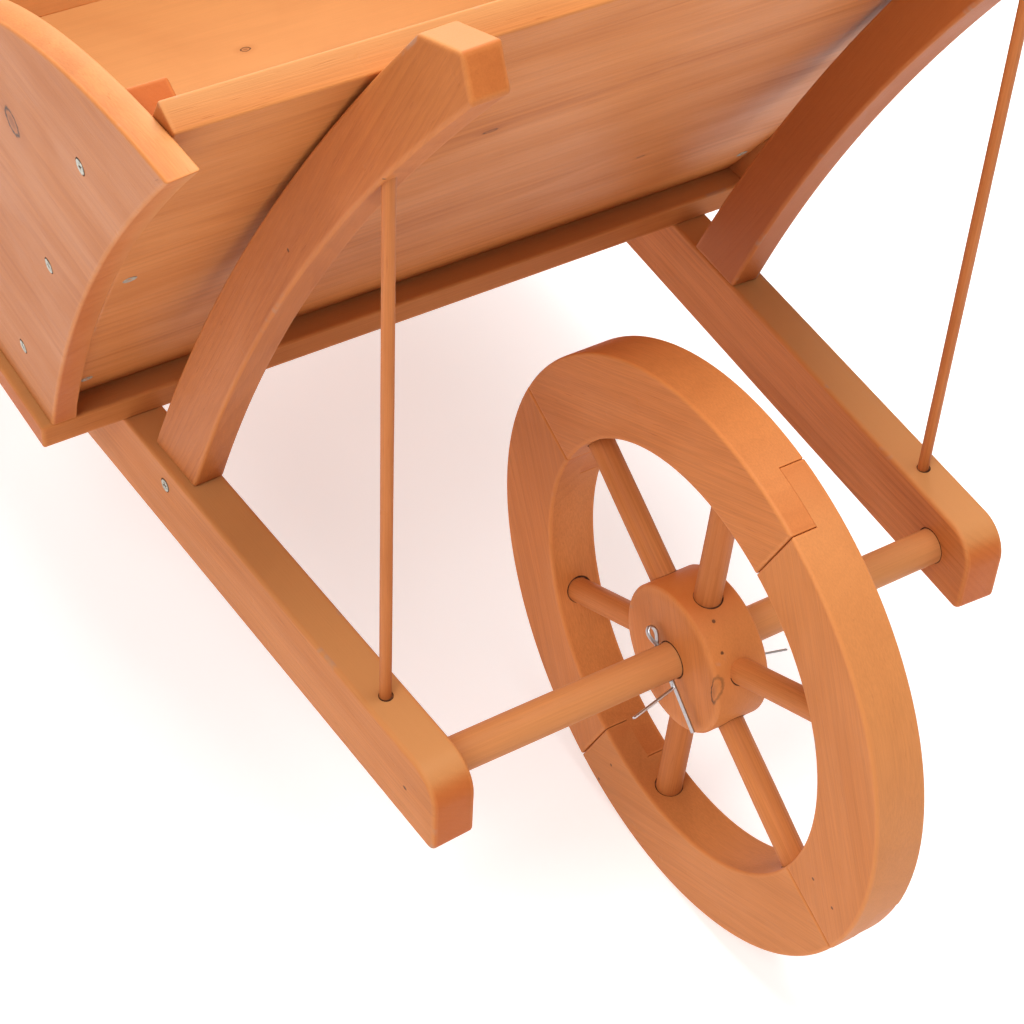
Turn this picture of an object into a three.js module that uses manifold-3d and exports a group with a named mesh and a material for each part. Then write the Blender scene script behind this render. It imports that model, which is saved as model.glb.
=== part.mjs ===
// Small decorative wooden garden wheelbarrow: a spoked wooden wheel on a round axle between two
// long handle rails, and a splayed board tray held by curved braces, tie rods, cleats and screws.
// Units are millimetres, +Z is up, the wheel is at the -Y end and the handles at the +Y end.
// The origin is on the ground, under the middle of the object.

import * as THREE from 'three';
import { mergeVertices } from 'three/addons/utils/BufferGeometryUtils.js';
import Module from 'manifold-3d';

// ---------------------------------------------------------------- driving dimensions

const GAP = 0.3; // clearance between glued, screwed and touching pieces
const SIDES = [['left', -1], ['right', 1]];
const LENGTH = 1060; // wheel front to handle ends
const BOARD = 14; // thickness of the tray's boards

// Wheel. Angles are in degrees, from +Y towards +Z.
const WHEEL_R = 160;
const RIM_IN_R = 115.5;
const RIM_WIDTH = 28;
const HUB_R = 40;
const HUB_WIDTH = 31;
const HUB_CHAMFER = 1.5;
const HUB_BORE_R = 9.58; // leaves about 0.07 mm of running clearance on the axle
const SPOKES = 6;
const SPOKE_R = 7;
const SPOKE_HUB_DEPTH = 14;
const SPOKE_RIM_DEPTH = 14;
const SPOKE_PHASE = 33.6;
const FELLOES = 4;
const FELLOE_PHASE = 25.4; // joint of the left half of the rim
const LAP_ANGLE = 11.5; // the right half's joint is this far behind

// Axle, its split pins and their holes
const AXLE_R = 9.5;
const AXLE_END = 14; // length of the axle inside each rail
const PIN_X = HUB_WIDTH / 2 + 4.3;
const PIN_TILT = 50; // turn of the pin about the axle
const PIN_WIRE_R = 0.85;
const PIN_LEG_X = 0.95;
const PIN_HOLE_R = 2.2;
const PIN_EYE_R = 3.1;
const PIN_LEG = 27; // straight leg beyond the axle
const PIN_BENT_LEG = 27;
const PIN_BEND = 78; // degrees

// Rails, splayed apart towards the handles. Their own w axis runs back from the axle.
const RAIL_IN_X = 149; // half the distance between the rails at the axle
const RAIL_SPLAY = Math.atan(0.0576);
const RAIL_THICK = 23;
const RAIL_BOTTOM = 138;
const RAIL_TOP = 186;
const RAIL_FRONT = -30;
const RAIL_END = (LENGTH - WHEEL_R) / Math.cos(RAIL_SPLAY);
const RAIL_NOSE_R = 19;
const RAIL_CHIN_R = 5;
const GRIP_START = RAIL_END - 175;
const GRIP_BOTTOM = 151;
const GRIP_TOP = 181;

// Curved braces and the tie rods under them
const BRACE_THICK = 17.5;
const BRACE_FOOT = [202, 243];
const BRACE_TOP_BACK = [3, 569];
const BRACE_TOP_FRONT = [-24.5, 576.5];
const BRACE_NOSE = [-32, 558.5];
const BRACE_BACK_R = 1650;
const BRACE_FRONT_R = 1250;
const TENON_THICK = 9;
const TENON_DEPTH = 30;
const TENON_SHOULDER = 4;
const ROD_R = 3;
const ROD_W = 30;
const ROD_HOLE_DEPTH = 16;
const ROD_TOP = 494;

// Tray
const FLOOR_HALF = 233;
const FLOOR_FRONT = 264.5;
const FLOOR_BACK = 668;
const FLOOR_BASE = RAIL_TOP + GAP;
const FLOOR_TOP = FLOOR_BASE + BOARD;
const SIDE_FOOT_X = 227; // outer face at the floor
const SIDE_FLARE = THREE.MathUtils.degToRad(6);
const FRONT_FOOT_Y = 281;
const FRONT_LEAN = THREE.MathUtils.degToRad(36.5);
const FRONT_HEIGHT = 412; // along the lean
const REAR_FOOT_Y = 634; // outer face at the floor
const REAR_LEAN = THREE.MathUtils.degToRad(20);
const REAR_HEIGHT = 214;
const SIDE_TIP = [13, 331];
const SIDE_TOE_Y = 264.5;
const SIDE_FRONT_R = 1500;
const SIDE_CREST_R = 500;
const SIDE_HOLLOW_R = 380;
const SIDE_SWEEP_Y = 250; // where the crest's arc turns into the hollow's
const SIDE_HEEL_Y = 652;
const CLEAT = 18;
const CLEAT_DROP = 34; // cleat tops lie this far below the panel's top edge

// Legs
const LEG_W = [590, 638];
const LEG_THICK = 20;
const STRETCHER_R = 9.5;
const STRETCHER_Z = 72;
const STRETCHER_DEPTH = 12;

// Countersunk wood screws
const SCREW_HEAD_R = 3.6;
const SCREW_HEAD_DEPTH = 2.4;
const SCREW_SHANK_R = 1.7;
const SCREW_PROUD = 0.1;

const COLOURS = {
  fir: 0xd98a4e, firDark: 0xc4702f, dowel: 0xd07c40, zinc: 0xb9bcc0, steel: 0xc8cbd0,
};

// ---------------------------------------------------------------- solids

const wasm = await Module();
wasm.setup();

/** A closed three.js geometry as a solid that can be joined and cut. */
function solid(geometry) {
  const bare = geometry.clone();
  bare.deleteAttribute('normal');
  bare.deleteAttribute('uv');
  const merged = mergeVertices(bare, 1e-4);
  return new wasm.Manifold(new wasm.Mesh({
    numProp: 3,
    vertProperties: new Float32Array(merged.attributes.position.array),
    triVerts: new Uint32Array(merged.index.array),
  }));
}

/** The reverse: a solid as a three.js geometry. */
function geometryOf(body) {
  const mesh = body.getMesh();
  const geometry = new THREE.BufferGeometry();
  geometry.setAttribute('position', new THREE.BufferAttribute(mesh.vertProperties, 3));
  geometry.setIndex(new THREE.BufferAttribute(mesh.triVerts, 1));
  geometry.computeVertexNormals();
  return geometry;
}

const cut = (body, ...tools) => tools.reduce((rest, tool) => rest.subtract(solid(tool)), body);
const join = (...geometries) => geometries.map(solid).reduce((all, next) => all.add(next));

// ---------------------------------------------------------------- shape helpers

const vec = (x, y, z) => new THREE.Vector3(x, y, z);
const rad = THREE.MathUtils.degToRad;

/** A bar round about the X axis, between two X values. */
function barX(radius, x0, x1, segments = 64) {
  const bar = new THREE.CylinderGeometry(radius, radius, x1 - x0, segments);
  return bar.rotateZ(-Math.PI / 2).translate((x0 + x1) / 2, 0, 0);
}

/** A bar round about a line from one point to another. */
function barBetween(radius, from, to, segments = 24) {
  const along = to.clone().sub(from);
  const bar = new THREE.CylinderGeometry(radius, radius, along.length(), segments);
  bar.applyQuaternion(new THREE.Quaternion().setFromUnitVectors(vec(0, 1, 0), along.normalize()));
  const middle = from.clone().add(to).multiplyScalar(0.5);
  return bar.translate(middle.x, middle.y, middle.z);
}

/** A profile in the Y-Z plane, given thickness along X between two X values. */
function slabX(profile, x0, x1, curveSegments = 12) {
  const options = { depth: x1 - x0, bevelEnabled: false, curveSegments };
  const slab = new THREE.ExtrudeGeometry(profile, options);
  // The profile's own axes x, y and depth become Y, Z and X.
  slab.applyMatrix4(new THREE.Matrix4().set(0, 0, 1, x0, 1, 0, 0, 0, 0, 1, 0, 0, 0, 0, 0, 1));
  return slab;
}

/** An upright rectangular block between two corners. */
function block(low, high) {
  const box = new THREE.BoxGeometry(high[0] - low[0], high[1] - low[1], high[2] - low[2]);
  return box.translate((low[0] + high[0]) / 2, (low[1] + high[1]) / 2, (low[2] + high[2]) / 2);
}

/** Adds to a path an arc of the given radius from its last point to an end point. */
function arcTo(path, end, radius, bulge) {
  const start = path.currentPoint.clone();
  const chord = new THREE.Vector2(end[0] - start.x, end[1] - start.y);
  const rise = Math.sqrt(radius * radius - chord.lengthSq() / 4);
  const across = new THREE.Vector2(-chord.y, chord.x).normalize().multiplyScalar(-bulge * rise);
  const centre = start.clone().addScaledVector(chord, 0.5).add(across);
  const from = Math.atan2(start.y - centre.y, start.x - centre.x);
  const to = Math.atan2(end[1] - centre.y, end[0] - centre.x);
  path.absarc(centre.x, centre.y, radius, from, to, bulge > 0);
}

/** Keeps the part of a big block that lies behind every plane of a list. */
function hewn(planes) {
  let body = solid(new THREE.BoxGeometry(3000, 3000, 3000));
  for (const { point, normal } of planes) {
    const waste = new THREE.BoxGeometry(9000, 9000, 9000).translate(0, 0, 4500);
    waste.applyQuaternion(new THREE.Quaternion().setFromUnitVectors(vec(0, 0, 1), normal));
    body = cut(body, waste.translate(point.x, point.y, point.z));
  }
  return body;
}

const plane = (point, normal) => ({ point, normal: normal.clone().normalize() });
const flipped = ({ point, normal }, offset) => ({
  point: point.clone().addScaledVector(normal, offset),
  normal: normal.clone().negate(),
});
const shifted = ({ point, normal }, offset) => ({
  point: point.clone().addScaledVector(normal, offset),
  normal,
});

/** Puts a piece made beside a rail, with its own w axis along the rail, in its place. */
const besideRail = (geometry, side) =>
  geometry.rotateZ(-side * RAIL_SPLAY).translate(side * RAIL_IN_X, 0, 0);

/** A point beside a rail: out from its inner face, back along it, and up. */
function railPoint(side, out, back, z) {
  const point = vec(side * out, back, z).applyAxisAngle(vec(0, 0, 1), -side * RAIL_SPLAY);
  return point.add(vec(side * RAIL_IN_X, 0, 0));
}

const outFromRail = (side) => vec(side, 0, 0).applyAxisAngle(vec(0, 0, 1), -side * RAIL_SPLAY);
const slabBesideRail = (profile, side, out0, out1, segments) => {
  const ends = [side * out0, side * out1].sort((a, b) => a - b);
  return besideRail(slabX(profile, ends[0], ends[1], segments), side);
};

// ---------------------------------------------------------------- screws

const screws = []; // every screw's name, head centre, direction and length

/** Notes a screw whose head is at a point on a face, and which is driven along a direction. */
function drive(name, head, direction, length) {
  screws.push({ name, head, direction: direction.clone().normalize(), length });
}

/** A countersunk screw, or with a margin the hole that clears it. */
function screwShape({ head, direction, length }, margin = 0) {
  const headR = SCREW_HEAD_R + margin;
  const shankR = SCREW_SHANK_R + margin;
  const top = margin > 0 ? 4 : SCREW_PROUD;
  const profile = [
    [0, -length - margin], [shankR, -length + 3 - margin], [shankR, -SCREW_HEAD_DEPTH - margin],
    [headR, 0], [headR, top], [0, top],
  ].map(([r, z]) => new THREE.Vector2(r, z));
  const shape = new THREE.LatheGeometry(profile, 12);
  const turn = new THREE.Quaternion().setFromUnitVectors(vec(0, -1, 0), direction);
  return shape.applyQuaternion(turn).translate(head.x, head.y, head.z);
}

// ---------------------------------------------------------------- tray planes

const floorTop = plane(vec(0, 0, FLOOR_TOP), vec(0, 0, 1));
const frontFace = plane(
  vec(0, FRONT_FOOT_Y, FLOOR_TOP), vec(0, -Math.cos(FRONT_LEAN), -Math.sin(FRONT_LEAN)));
const frontUp = vec(0, -Math.sin(FRONT_LEAN), Math.cos(FRONT_LEAN));
const frontTop = plane(frontFace.point.clone().addScaledVector(frontUp, FRONT_HEIGHT), frontUp);
const rearFace = plane(
  vec(0, REAR_FOOT_Y, FLOOR_TOP), vec(0, Math.cos(REAR_LEAN), -Math.sin(REAR_LEAN)));
const rearUp = vec(0, Math.sin(REAR_LEAN), Math.cos(REAR_LEAN));
const rearTop = plane(rearFace.point.clone().addScaledVector(rearUp, REAR_HEIGHT), rearUp);

/** A side panel's outer face. */
function sideFace(side) {
  const normal = vec(side * Math.cos(SIDE_FLARE), 0, -Math.sin(SIDE_FLARE));
  return plane(vec(side * SIDE_FOOT_X, 0, FLOOR_TOP), normal);
}

/** A point on a side panel's outer face: back from the axle, and up the flared face. */
function sidePoint(side, y, up) {
  return sideFace(side).point.clone()
    .add(vec(side * Math.sin(SIDE_FLARE), 0, Math.cos(SIDE_FLARE)).multiplyScalar(up))
    .setY(y);
}

// ---------------------------------------------------------------- wooden pieces

const wood = []; // name, solid and colour of every wooden piece that screws pass through
const addWood = (name, body, colour = COLOURS.fir) => wood.push({ name, body, colour });

/** The rails' outline: a round nose, and a thinner, rounded grip at the back. */
function railProfile() {
  const quarter = Math.PI / 2;
  const gripR = (GRIP_TOP - GRIP_BOTTOM) / 2;
  const ease = (RAIL_END - GRIP_START) * 0.2;
  const profile = new THREE.Shape();
  profile.moveTo(RAIL_FRONT + RAIL_CHIN_R, RAIL_BOTTOM);
  profile.lineTo(GRIP_START, RAIL_BOTTOM);
  profile.bezierCurveTo(GRIP_START + ease, RAIL_BOTTOM, GRIP_START + ease, GRIP_BOTTOM,
    GRIP_START + 2 * ease, GRIP_BOTTOM);
  profile.absarc(RAIL_END - gripR, GRIP_BOTTOM + gripR, gripR, -quarter, quarter, false);
  profile.lineTo(GRIP_START + 2 * ease, GRIP_TOP);
  profile.bezierCurveTo(GRIP_START + ease, GRIP_TOP, GRIP_START + ease, RAIL_TOP,
    GRIP_START, RAIL_TOP);
  profile.absarc(RAIL_FRONT + RAIL_NOSE_R, RAIL_TOP - RAIL_NOSE_R, RAIL_NOSE_R,
    quarter, 2 * quarter, false);
  profile.absarc(RAIL_FRONT + RAIL_CHIN_R, RAIL_BOTTOM + RAIL_CHIN_R, RAIL_CHIN_R,
    2 * quarter, 3 * quarter, false);
  return profile;
}

/** The braces' outline, with the tenon's slot left to a cut. */
function braceProfile(foot) {
  const profile = new THREE.Shape();
  profile.moveTo(BRACE_FOOT[0], foot);
  profile.lineTo(BRACE_FOOT[1], foot);
  profile.lineTo(BRACE_FOOT[1], RAIL_TOP + GAP);
  arcTo(profile, BRACE_TOP_BACK, BRACE_BACK_R, -1);
  profile.lineTo(...BRACE_TOP_FRONT);
  profile.lineTo(...BRACE_NOSE);
  arcTo(profile, [BRACE_FOOT[0], RAIL_TOP + GAP], BRACE_FRONT_R, 1);
  return profile;
}

/** The tenon under a brace, or with a margin the mortise in the rail. */
function tenon(side, margin = 0) {
  const out0 = (BRACE_THICK - TENON_THICK) / 2;
  const low = RAIL_TOP - TENON_DEPTH - margin;
  const profile = new THREE.Shape();
  profile.moveTo(BRACE_FOOT[0] + TENON_SHOULDER - margin, low);
  profile.lineTo(BRACE_FOOT[1] - TENON_SHOULDER + margin, low);
  profile.lineTo(BRACE_FOOT[1] - TENON_SHOULDER + margin, RAIL_TOP + 1);
  profile.lineTo(BRACE_FOOT[0] + TENON_SHOULDER - margin, RAIL_TOP + 1);
  return slabBesideRail(profile, side, out0 - margin, out0 + TENON_THICK + margin);
}

/** A tie rod, or with a margin the holes that it stands in. */
function tieRod(side, margin = 0) {
  const foot = railPoint(side, RAIL_THICK / 2, ROD_W, RAIL_TOP - ROD_HOLE_DEPTH - margin);
  return barBetween(ROD_R + margin, foot, foot.clone().setZ(ROD_TOP + margin));
}

const axleHole = barX(AXLE_R + GAP, -RAIL_IN_X - AXLE_END - GAP, RAIL_IN_X + AXLE_END + GAP)
  .translate(0, 0, WHEEL_R);

function makeRails() {
  for (const [word, side] of SIDES) {
    const rail = solid(slabBesideRail(railProfile(), side, 0, RAIL_THICK));
    addWood(`rail_${word}`, cut(rail, axleHole.clone(), tenon(side, GAP), tieRod(side, GAP)));
    drive(`brace_screw_${word}`, railPoint(side, RAIL_THICK, 224, 173), outFromRail(side).negate(), 20);
  }
}

function makeBraces() {
  for (const [word, side] of SIDES) {
    const brace = join(
      slabBesideRail(braceProfile(RAIL_TOP + GAP), side, 0, BRACE_THICK, 16), tenon(side));
    addWood(`brace_${word}`, cut(brace, tieRod(side, GAP)));
    addWood(`tie_rod_${word}`, solid(tieRod(side)), COLOURS.dowel);
  }
}

function makeFloor() {
  addWood('tray_floor', solid(block(
    [-FLOOR_HALF, FLOOR_FRONT, FLOOR_BASE], [FLOOR_HALF, FLOOR_BACK, FLOOR_TOP])));
  for (const [word, side] of SIDES) {
    for (const [place, back] of [['front', 335], ['rear', 560]]) {
      const head = railPoint(side, RAIL_THICK / 2, back, FLOOR_TOP);
      drive(`floor_screw_${place}_${word}`, head, vec(0, 0, -1), 34);
    }
  }
}

/** The side panels' outline in their own face: a hollow front edge and a swept top edge. */
function sideProfile() {
  const sweep = SIDE_SWEEP_Y - SIDE_TIP[0];
  const drop = Math.asin(sweep / SIDE_CREST_R);
  const sweepUp = SIDE_TIP[1] - SIDE_CREST_R * (1 - Math.cos(drop));
  const low = sweepUp - SIDE_HOLLOW_R * (1 - Math.cos(drop));
  const lowY = SIDE_SWEEP_Y + SIDE_HOLLOW_R * Math.sin(drop);
  const profile = new THREE.Shape();
  profile.moveTo(SIDE_HEEL_Y - 2, -5);
  profile.lineTo(SIDE_HEEL_Y + low * Math.tan(REAR_LEAN), low);
  profile.lineTo(lowY, low);
  arcTo(profile, [SIDE_SWEEP_Y, sweepUp], SIDE_HOLLOW_R, 1);
  arcTo(profile, SIDE_TIP, SIDE_CREST_R, -1);
  arcTo(profile, [SIDE_TOE_Y, 0], SIDE_FRONT_R, 1);
  profile.lineTo(SIDE_TOE_Y, -5);
  return profile;
}

function makeSides() {
  for (const [word, side] of SIDES) {
    const ends = side > 0 ? [-BOARD, 0] : [0, BOARD];
    const panel = slabX(sideProfile(), ends[0], ends[1], 12);
    panel.rotateY(side * SIDE_FLARE).translate(side * SIDE_FOOT_X, 0, FLOOR_TOP);
    const waste = block([-400, 0, 0], [400, 900, FLOOR_TOP + GAP]);
    addWood(`side_panel_${word}`, cut(solid(panel), waste));
    const inwards = sideFace(side).normal.clone().negate();
    for (const [place, up] of [['low', 44], ['middle', 161], ['high', 273]]) {
      const behind = FRONT_FOOT_Y + 31 - up * Math.cos(SIDE_FLARE) * Math.tan(FRONT_LEAN);
      drive(`side_screw_front_${place}_${word}`, sidePoint(side, behind, up), inwards, 28);
    }
    for (const [place, up] of [['low', 68], ['high', 172]]) {
      const ahead = REAR_FOOT_Y - 26 + up * Math.tan(REAR_LEAN);
      drive(`side_screw_rear_${place}_${word}`, sidePoint(side, ahead, up), inwards, 28);
    }
  }
}

/** A panel between the side panels, from its outer face, thickness and top edge. */
function endPanel(face, top) {
  const sides = SIDES.map(([, side]) => shifted(sideFace(side), -BOARD - GAP));
  return hewn([face, flipped(face, -BOARD), top, flipped(floorTop, GAP), ...sides]);
}

/** A square cleat in the corner between a side panel and an end panel. */
function cornerCleat(face, top, side) {
  const inner = shifted(face, -BOARD - GAP);
  const wall = shifted(sideFace(side), -BOARD - GAP);
  return hewn([
    inner, flipped(inner, -CLEAT), wall, flipped(wall, -CLEAT),
    shifted(top, -CLEAT_DROP), flipped(floorTop, GAP),
  ]);
}

/** A point on an end panel's face, in front of a corner cleat's middle. */
function cleatPoint(face, up, side, height) {
  const point = face.point.clone().addScaledVector(up, height);
  const reach = SIDE_FOOT_X + (point.z - FLOOR_TOP) * Math.tan(SIDE_FLARE);
  return point.setX(side * (reach - (BOARD + CLEAT / 2) / Math.cos(SIDE_FLARE)));
}

function makeEnds() {
  const ends = [
    ['front', frontFace, frontTop, frontUp, [['low', 30], ['high', 214]]],
    ['rear', rearFace, rearTop, rearUp, [['low', 35], ['high', 150]]],
  ];
  for (const [end, face, top, up, rows] of ends) {
    addWood(`${end}_panel`, endPanel(face, top));
    for (const [word, side] of SIDES) {
      addWood(`cleat_${end}_${word}`, cornerCleat(face, top, side));
      for (const [place, height] of rows) {
        const head = cleatPoint(face, up, side, height);
        drive(`${end}_screw_${place}_${word}`, head, face.normal.clone().negate(), 28);
      }
    }
  }
}

function makeLegs() {
  const middle = (LEG_W[0] + LEG_W[1]) / 2;
  const reach = Math.abs(railPoint(1, -LEG_THICK - GAP, middle, 0).x) + STRETCHER_DEPTH;
  const stretcher = (margin) => barX(STRETCHER_R + margin, -reach - margin, reach + margin, 48)
    .translate(0, middle, STRETCHER_Z);
  for (const [word, side] of SIDES) {
    const profile = new THREE.Shape();
    profile.moveTo(LEG_W[0], 0);
    profile.lineTo(LEG_W[1], 0);
    profile.lineTo(LEG_W[1], RAIL_TOP);
    profile.lineTo(LEG_W[0], RAIL_TOP);
    const leg = solid(slabBesideRail(profile, side, -GAP - LEG_THICK, -GAP));
    addWood(`leg_${word}`, cut(leg, stretcher(GAP)));
    for (const [place, back, z] of [['low', middle - 10, 150], ['high', middle + 10, 172]]) {
      const head = railPoint(side, -GAP - LEG_THICK, back, z);
      drive(`leg_screw_${place}_${word}`, head, outFromRail(side), 36);
    }
  }
  addWood('leg_stretcher', solid(stretcher(0)), COLOURS.dowel);
}

// ---------------------------------------------------------------- axle and split pins

/** A split pin's own frame, about the axle's centre: x along the axle, z towards the eye. */
const pinTurn = new THREE.Matrix4().makeRotationX(rad(-PIN_TILT));

/** One wire, folded into an eye, with both legs through the axle and one bent away. */
function splitPin(side) {
  const exit = AXLE_R + 1.5;
  const eyeZ = exit + 1.5 + PIN_EYE_R;
  const points = [vec(PIN_LEG_X, 0, -exit - PIN_LEG), vec(PIN_LEG_X, 0, -exit), vec(PIN_LEG_X, 0, 0),
    vec(PIN_LEG_X, 0, exit - 1)];
  for (let turn = -60; turn <= 240; turn += 30) {
    points.push(vec(PIN_EYE_R * Math.cos(rad(turn)), 0, eyeZ + PIN_EYE_R * Math.sin(rad(turn))));
  }
  points.push(vec(-PIN_LEG_X, 0, exit - 1), vec(-PIN_LEG_X, 0, 0), vec(-PIN_LEG_X, 0, -exit));
  for (const reach of [0.4, 1]) {
    points.push(vec(-PIN_LEG_X - reach * PIN_BENT_LEG * Math.sin(rad(PIN_BEND)), 0,
      -exit - 2 - reach * PIN_BENT_LEG * Math.cos(rad(PIN_BEND))));
  }
  const wire = new THREE.Shape();
  wire.absarc(0, 0, PIN_WIRE_R, 0, 2 * Math.PI, false);
  const path = new THREE.CatmullRomCurve3(points.map((p) => vec(side * -p.x, p.y, p.z)), false,
    'centripetal');
  const options = { steps: 72, extrudePath: path, curveSegments: 4 };
  return new THREE.ExtrudeGeometry(wire, options).applyMatrix4(pinTurn);
}

function makeAxle() {
  const reach = RAIL_IN_X + AXLE_END;
  const holes = SIDES.map(([, side]) => {
    const hole = barBetween(PIN_HOLE_R, vec(0, 0, -20), vec(0, 0, 20), 16).applyMatrix4(pinTurn);
    return hole.translate(side * PIN_X, 0, 0);
  });
  return cut(solid(barX(AXLE_R, -reach, reach)), ...holes);
}

// ---------------------------------------------------------------- wheel

/** A sector of the rim between two angles and two X values. */
function rimSector(from, to, x0, x1) {
  const sector = new THREE.Shape();
  const [a, b] = [rad(from), rad(to)];
  sector.absarc(0, 0, WHEEL_R, a, b, false);
  sector.absarc(0, 0, RIM_IN_R, b, a, true);
  return slabX(sector, x0, x1, Math.max(2, Math.round((to - from) / 4)));
}

/** A spoke along its own angle, or with a margin the sockets that it sits in. */
function spoke(angle, margin = 0) {
  const outwards = vec(0, Math.cos(rad(angle)), Math.sin(rad(angle)));
  const inner = HUB_R - SPOKE_HUB_DEPTH - margin;
  const outer = RIM_IN_R + SPOKE_RIM_DEPTH + margin;
  return barBetween(SPOKE_R + margin, outwards.clone().multiplyScalar(inner),
    outwards.clone().multiplyScalar(outer));
}

const spokeAngles = Array.from({ length: SPOKES }, (_, k) => SPOKE_PHASE + (360 / SPOKES) * k);

/** A felloe: full thickness in the middle, with a half-thickness tongue at each end. */
function felloe(index) {
  const half = RIM_WIDTH / 2;
  const slack = 0.5 * THREE.MathUtils.radToDeg(GAP / RIM_IN_R);
  const start = FELLOE_PHASE + (360 / FELLOES) * index + slack;
  const end = start + 360 / FELLOES - 2 * slack;
  const body = join(
    rimSector(start, end - LAP_ANGLE, -half, half),
    rimSector(end - LAP_ANGLE - 4, end, -half, -GAP / 2),
    rimSector(start - LAP_ANGLE, start + 4, GAP / 2, half));
  return cut(body, ...spokeAngles.map((angle) => spoke(angle, GAP)));
}

function hub() {
  const half = HUB_WIDTH / 2;
  const profile = [
    [HUB_BORE_R, -half], [HUB_R - HUB_CHAMFER, -half], [HUB_R, -half + HUB_CHAMFER],
    [HUB_R, half - HUB_CHAMFER], [HUB_R - HUB_CHAMFER, half], [HUB_BORE_R, half],
    [HUB_BORE_R, -half],
  ].map(([r, x]) => new THREE.Vector2(r, x));
  const body = new THREE.LatheGeometry(profile, 64).rotateZ(-Math.PI / 2);
  return cut(solid(body), ...spokeAngles.map((angle) => spoke(angle, GAP)));
}

// ---------------------------------------------------------------- assembly

/** A named mesh with its own material. */
function mesh(name, geometry, colour, metalness = 0) {
  const material = new THREE.MeshStandardMaterial({
    color: colour, metalness, roughness: metalness > 0 ? 0.35 : 0.6,
  });
  const piece = new THREE.Mesh(geometry, material);
  piece.name = name;
  return piece;
}

function makeWheel() {
  const wheel = new THREE.Group();
  wheel.add(mesh('hub', geometryOf(hub()), COLOURS.fir));
  spokeAngles.forEach((angle, k) => {
    wheel.add(mesh(`spoke_${k + 1}`, spoke(angle), COLOURS.dowel));
  });
  for (let k = 0; k < FELLOES; k += 1) {
    wheel.add(mesh(`felloe_${k + 1}`, geometryOf(felloe(k)), COLOURS.fir));
  }
  return wheel;
}

function makeAxleSet() {
  const set = new THREE.Group();
  set.add(mesh('axle', geometryOf(makeAxle()), COLOURS.dowel));
  for (const [word, side] of SIDES) {
    const pin = mesh(`split_pin_${word}`, splitPin(side), COLOURS.steel, 1);
    pin.position.x = side * PIN_X;
    set.add(pin);
  }
  return set;
}

function makeFrame() {
  makeRails();
  makeBraces();
  makeFloor();
  makeSides();
  makeEnds();
  makeLegs();
  const frame = new THREE.Group();
  const holes = join(...screws.map((screw) => screwShape(screw, GAP)));
  for (const { name, body, colour } of wood) {
    frame.add(mesh(name, geometryOf(body.subtract(holes)), colour));
  }
  for (const screw of screws) {
    frame.add(mesh(screw.name, screwShape(screw), COLOURS.zinc, 1));
  }
  return frame;
}

const wheelbarrow = new THREE.Group();
const running = new THREE.Group();
running.add(makeWheel(), makeAxleSet());
running.position.z = WHEEL_R;
const chassis = new THREE.Group();
chassis.add(running, makeFrame());
chassis.position.y = WHEEL_R - LENGTH / 2;
wheelbarrow.add(chassis);

export default wheelbarrow;
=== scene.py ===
"""Looks of a small wooden garden wheelbarrow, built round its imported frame.

Lengths inside the classes are millimetres in the barrow's own frame: x across, y back from
the wheel's axle and z up from the ground. Placement turns them into metres in the row frame.
"""

import logging
import math
from dataclasses import dataclass, field
from enum import Enum
from typing import Optional, Sequence

import bpy
import numpy as np
from mathutils import Matrix, Vector


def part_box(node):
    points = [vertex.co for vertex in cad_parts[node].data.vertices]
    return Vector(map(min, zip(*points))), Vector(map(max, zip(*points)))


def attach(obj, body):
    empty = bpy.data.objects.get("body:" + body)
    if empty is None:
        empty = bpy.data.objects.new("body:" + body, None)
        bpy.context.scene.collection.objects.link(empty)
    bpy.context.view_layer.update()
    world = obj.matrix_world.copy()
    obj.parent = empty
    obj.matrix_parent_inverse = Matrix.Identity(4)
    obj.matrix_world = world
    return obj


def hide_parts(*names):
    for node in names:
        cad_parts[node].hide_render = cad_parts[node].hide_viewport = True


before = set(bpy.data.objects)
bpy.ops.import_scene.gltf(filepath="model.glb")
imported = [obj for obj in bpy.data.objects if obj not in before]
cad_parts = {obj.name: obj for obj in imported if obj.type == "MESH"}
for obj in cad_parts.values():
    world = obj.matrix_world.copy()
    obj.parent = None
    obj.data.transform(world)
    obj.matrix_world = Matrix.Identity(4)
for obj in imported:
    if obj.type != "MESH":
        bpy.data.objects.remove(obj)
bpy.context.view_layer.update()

Array = np.ndarray
Socket = bpy.types.NodeSocket
MM = 0.001
AXLE_HEIGHT = 160.0
AXLE_RADIUS = 9.5
KNOT_HEART = (0.20, 0.062, 0.022, 1.0)
KNOT_RIM = (0.060, 0.022, 0.010, 1.0)
SCUFF_GREY = (0.34, 0.25, 0.2, 1.0)
NAIL_HOLE = (0.05, 0.022, 0.012, 1.0)
GAP_LIFT = 0.05  # how far the painted shadow ring of a gap stands above the wood
GAP_DEPTH = 0.5  # how far it is sunk
GAP_TUCK = 0.4  # how far it reaches in under its peg
GAP_SEGMENTS = 48
CORNER_STEPS = 4  # segments in an outline's rounded corner
CORNER_SUPPORT = 1.5  # from a rounded corner to the vertex that keeps the flat flat
CORNER_TURN = math.radians(20)  # an outline's vertex that turns further is a corner
SHARP_EDGE = math.radians(38)  # faces that meet at more than this are shaded apart
LOG = logging.getLogger("wheelbarrow")


class Side(Enum):
    """The two sides of the barrow; the value is the sign of x."""

    LEFT = -1
    RIGHT = 1

    @property
    def word(self) -> str:
        """The side's name as it stands in node names."""
        return self.name.lower()


class Body(Enum):
    """The rigid bodies that pieces ride on."""

    CHASSIS = "chassis"
    WHEEL = "wheel"


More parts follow.
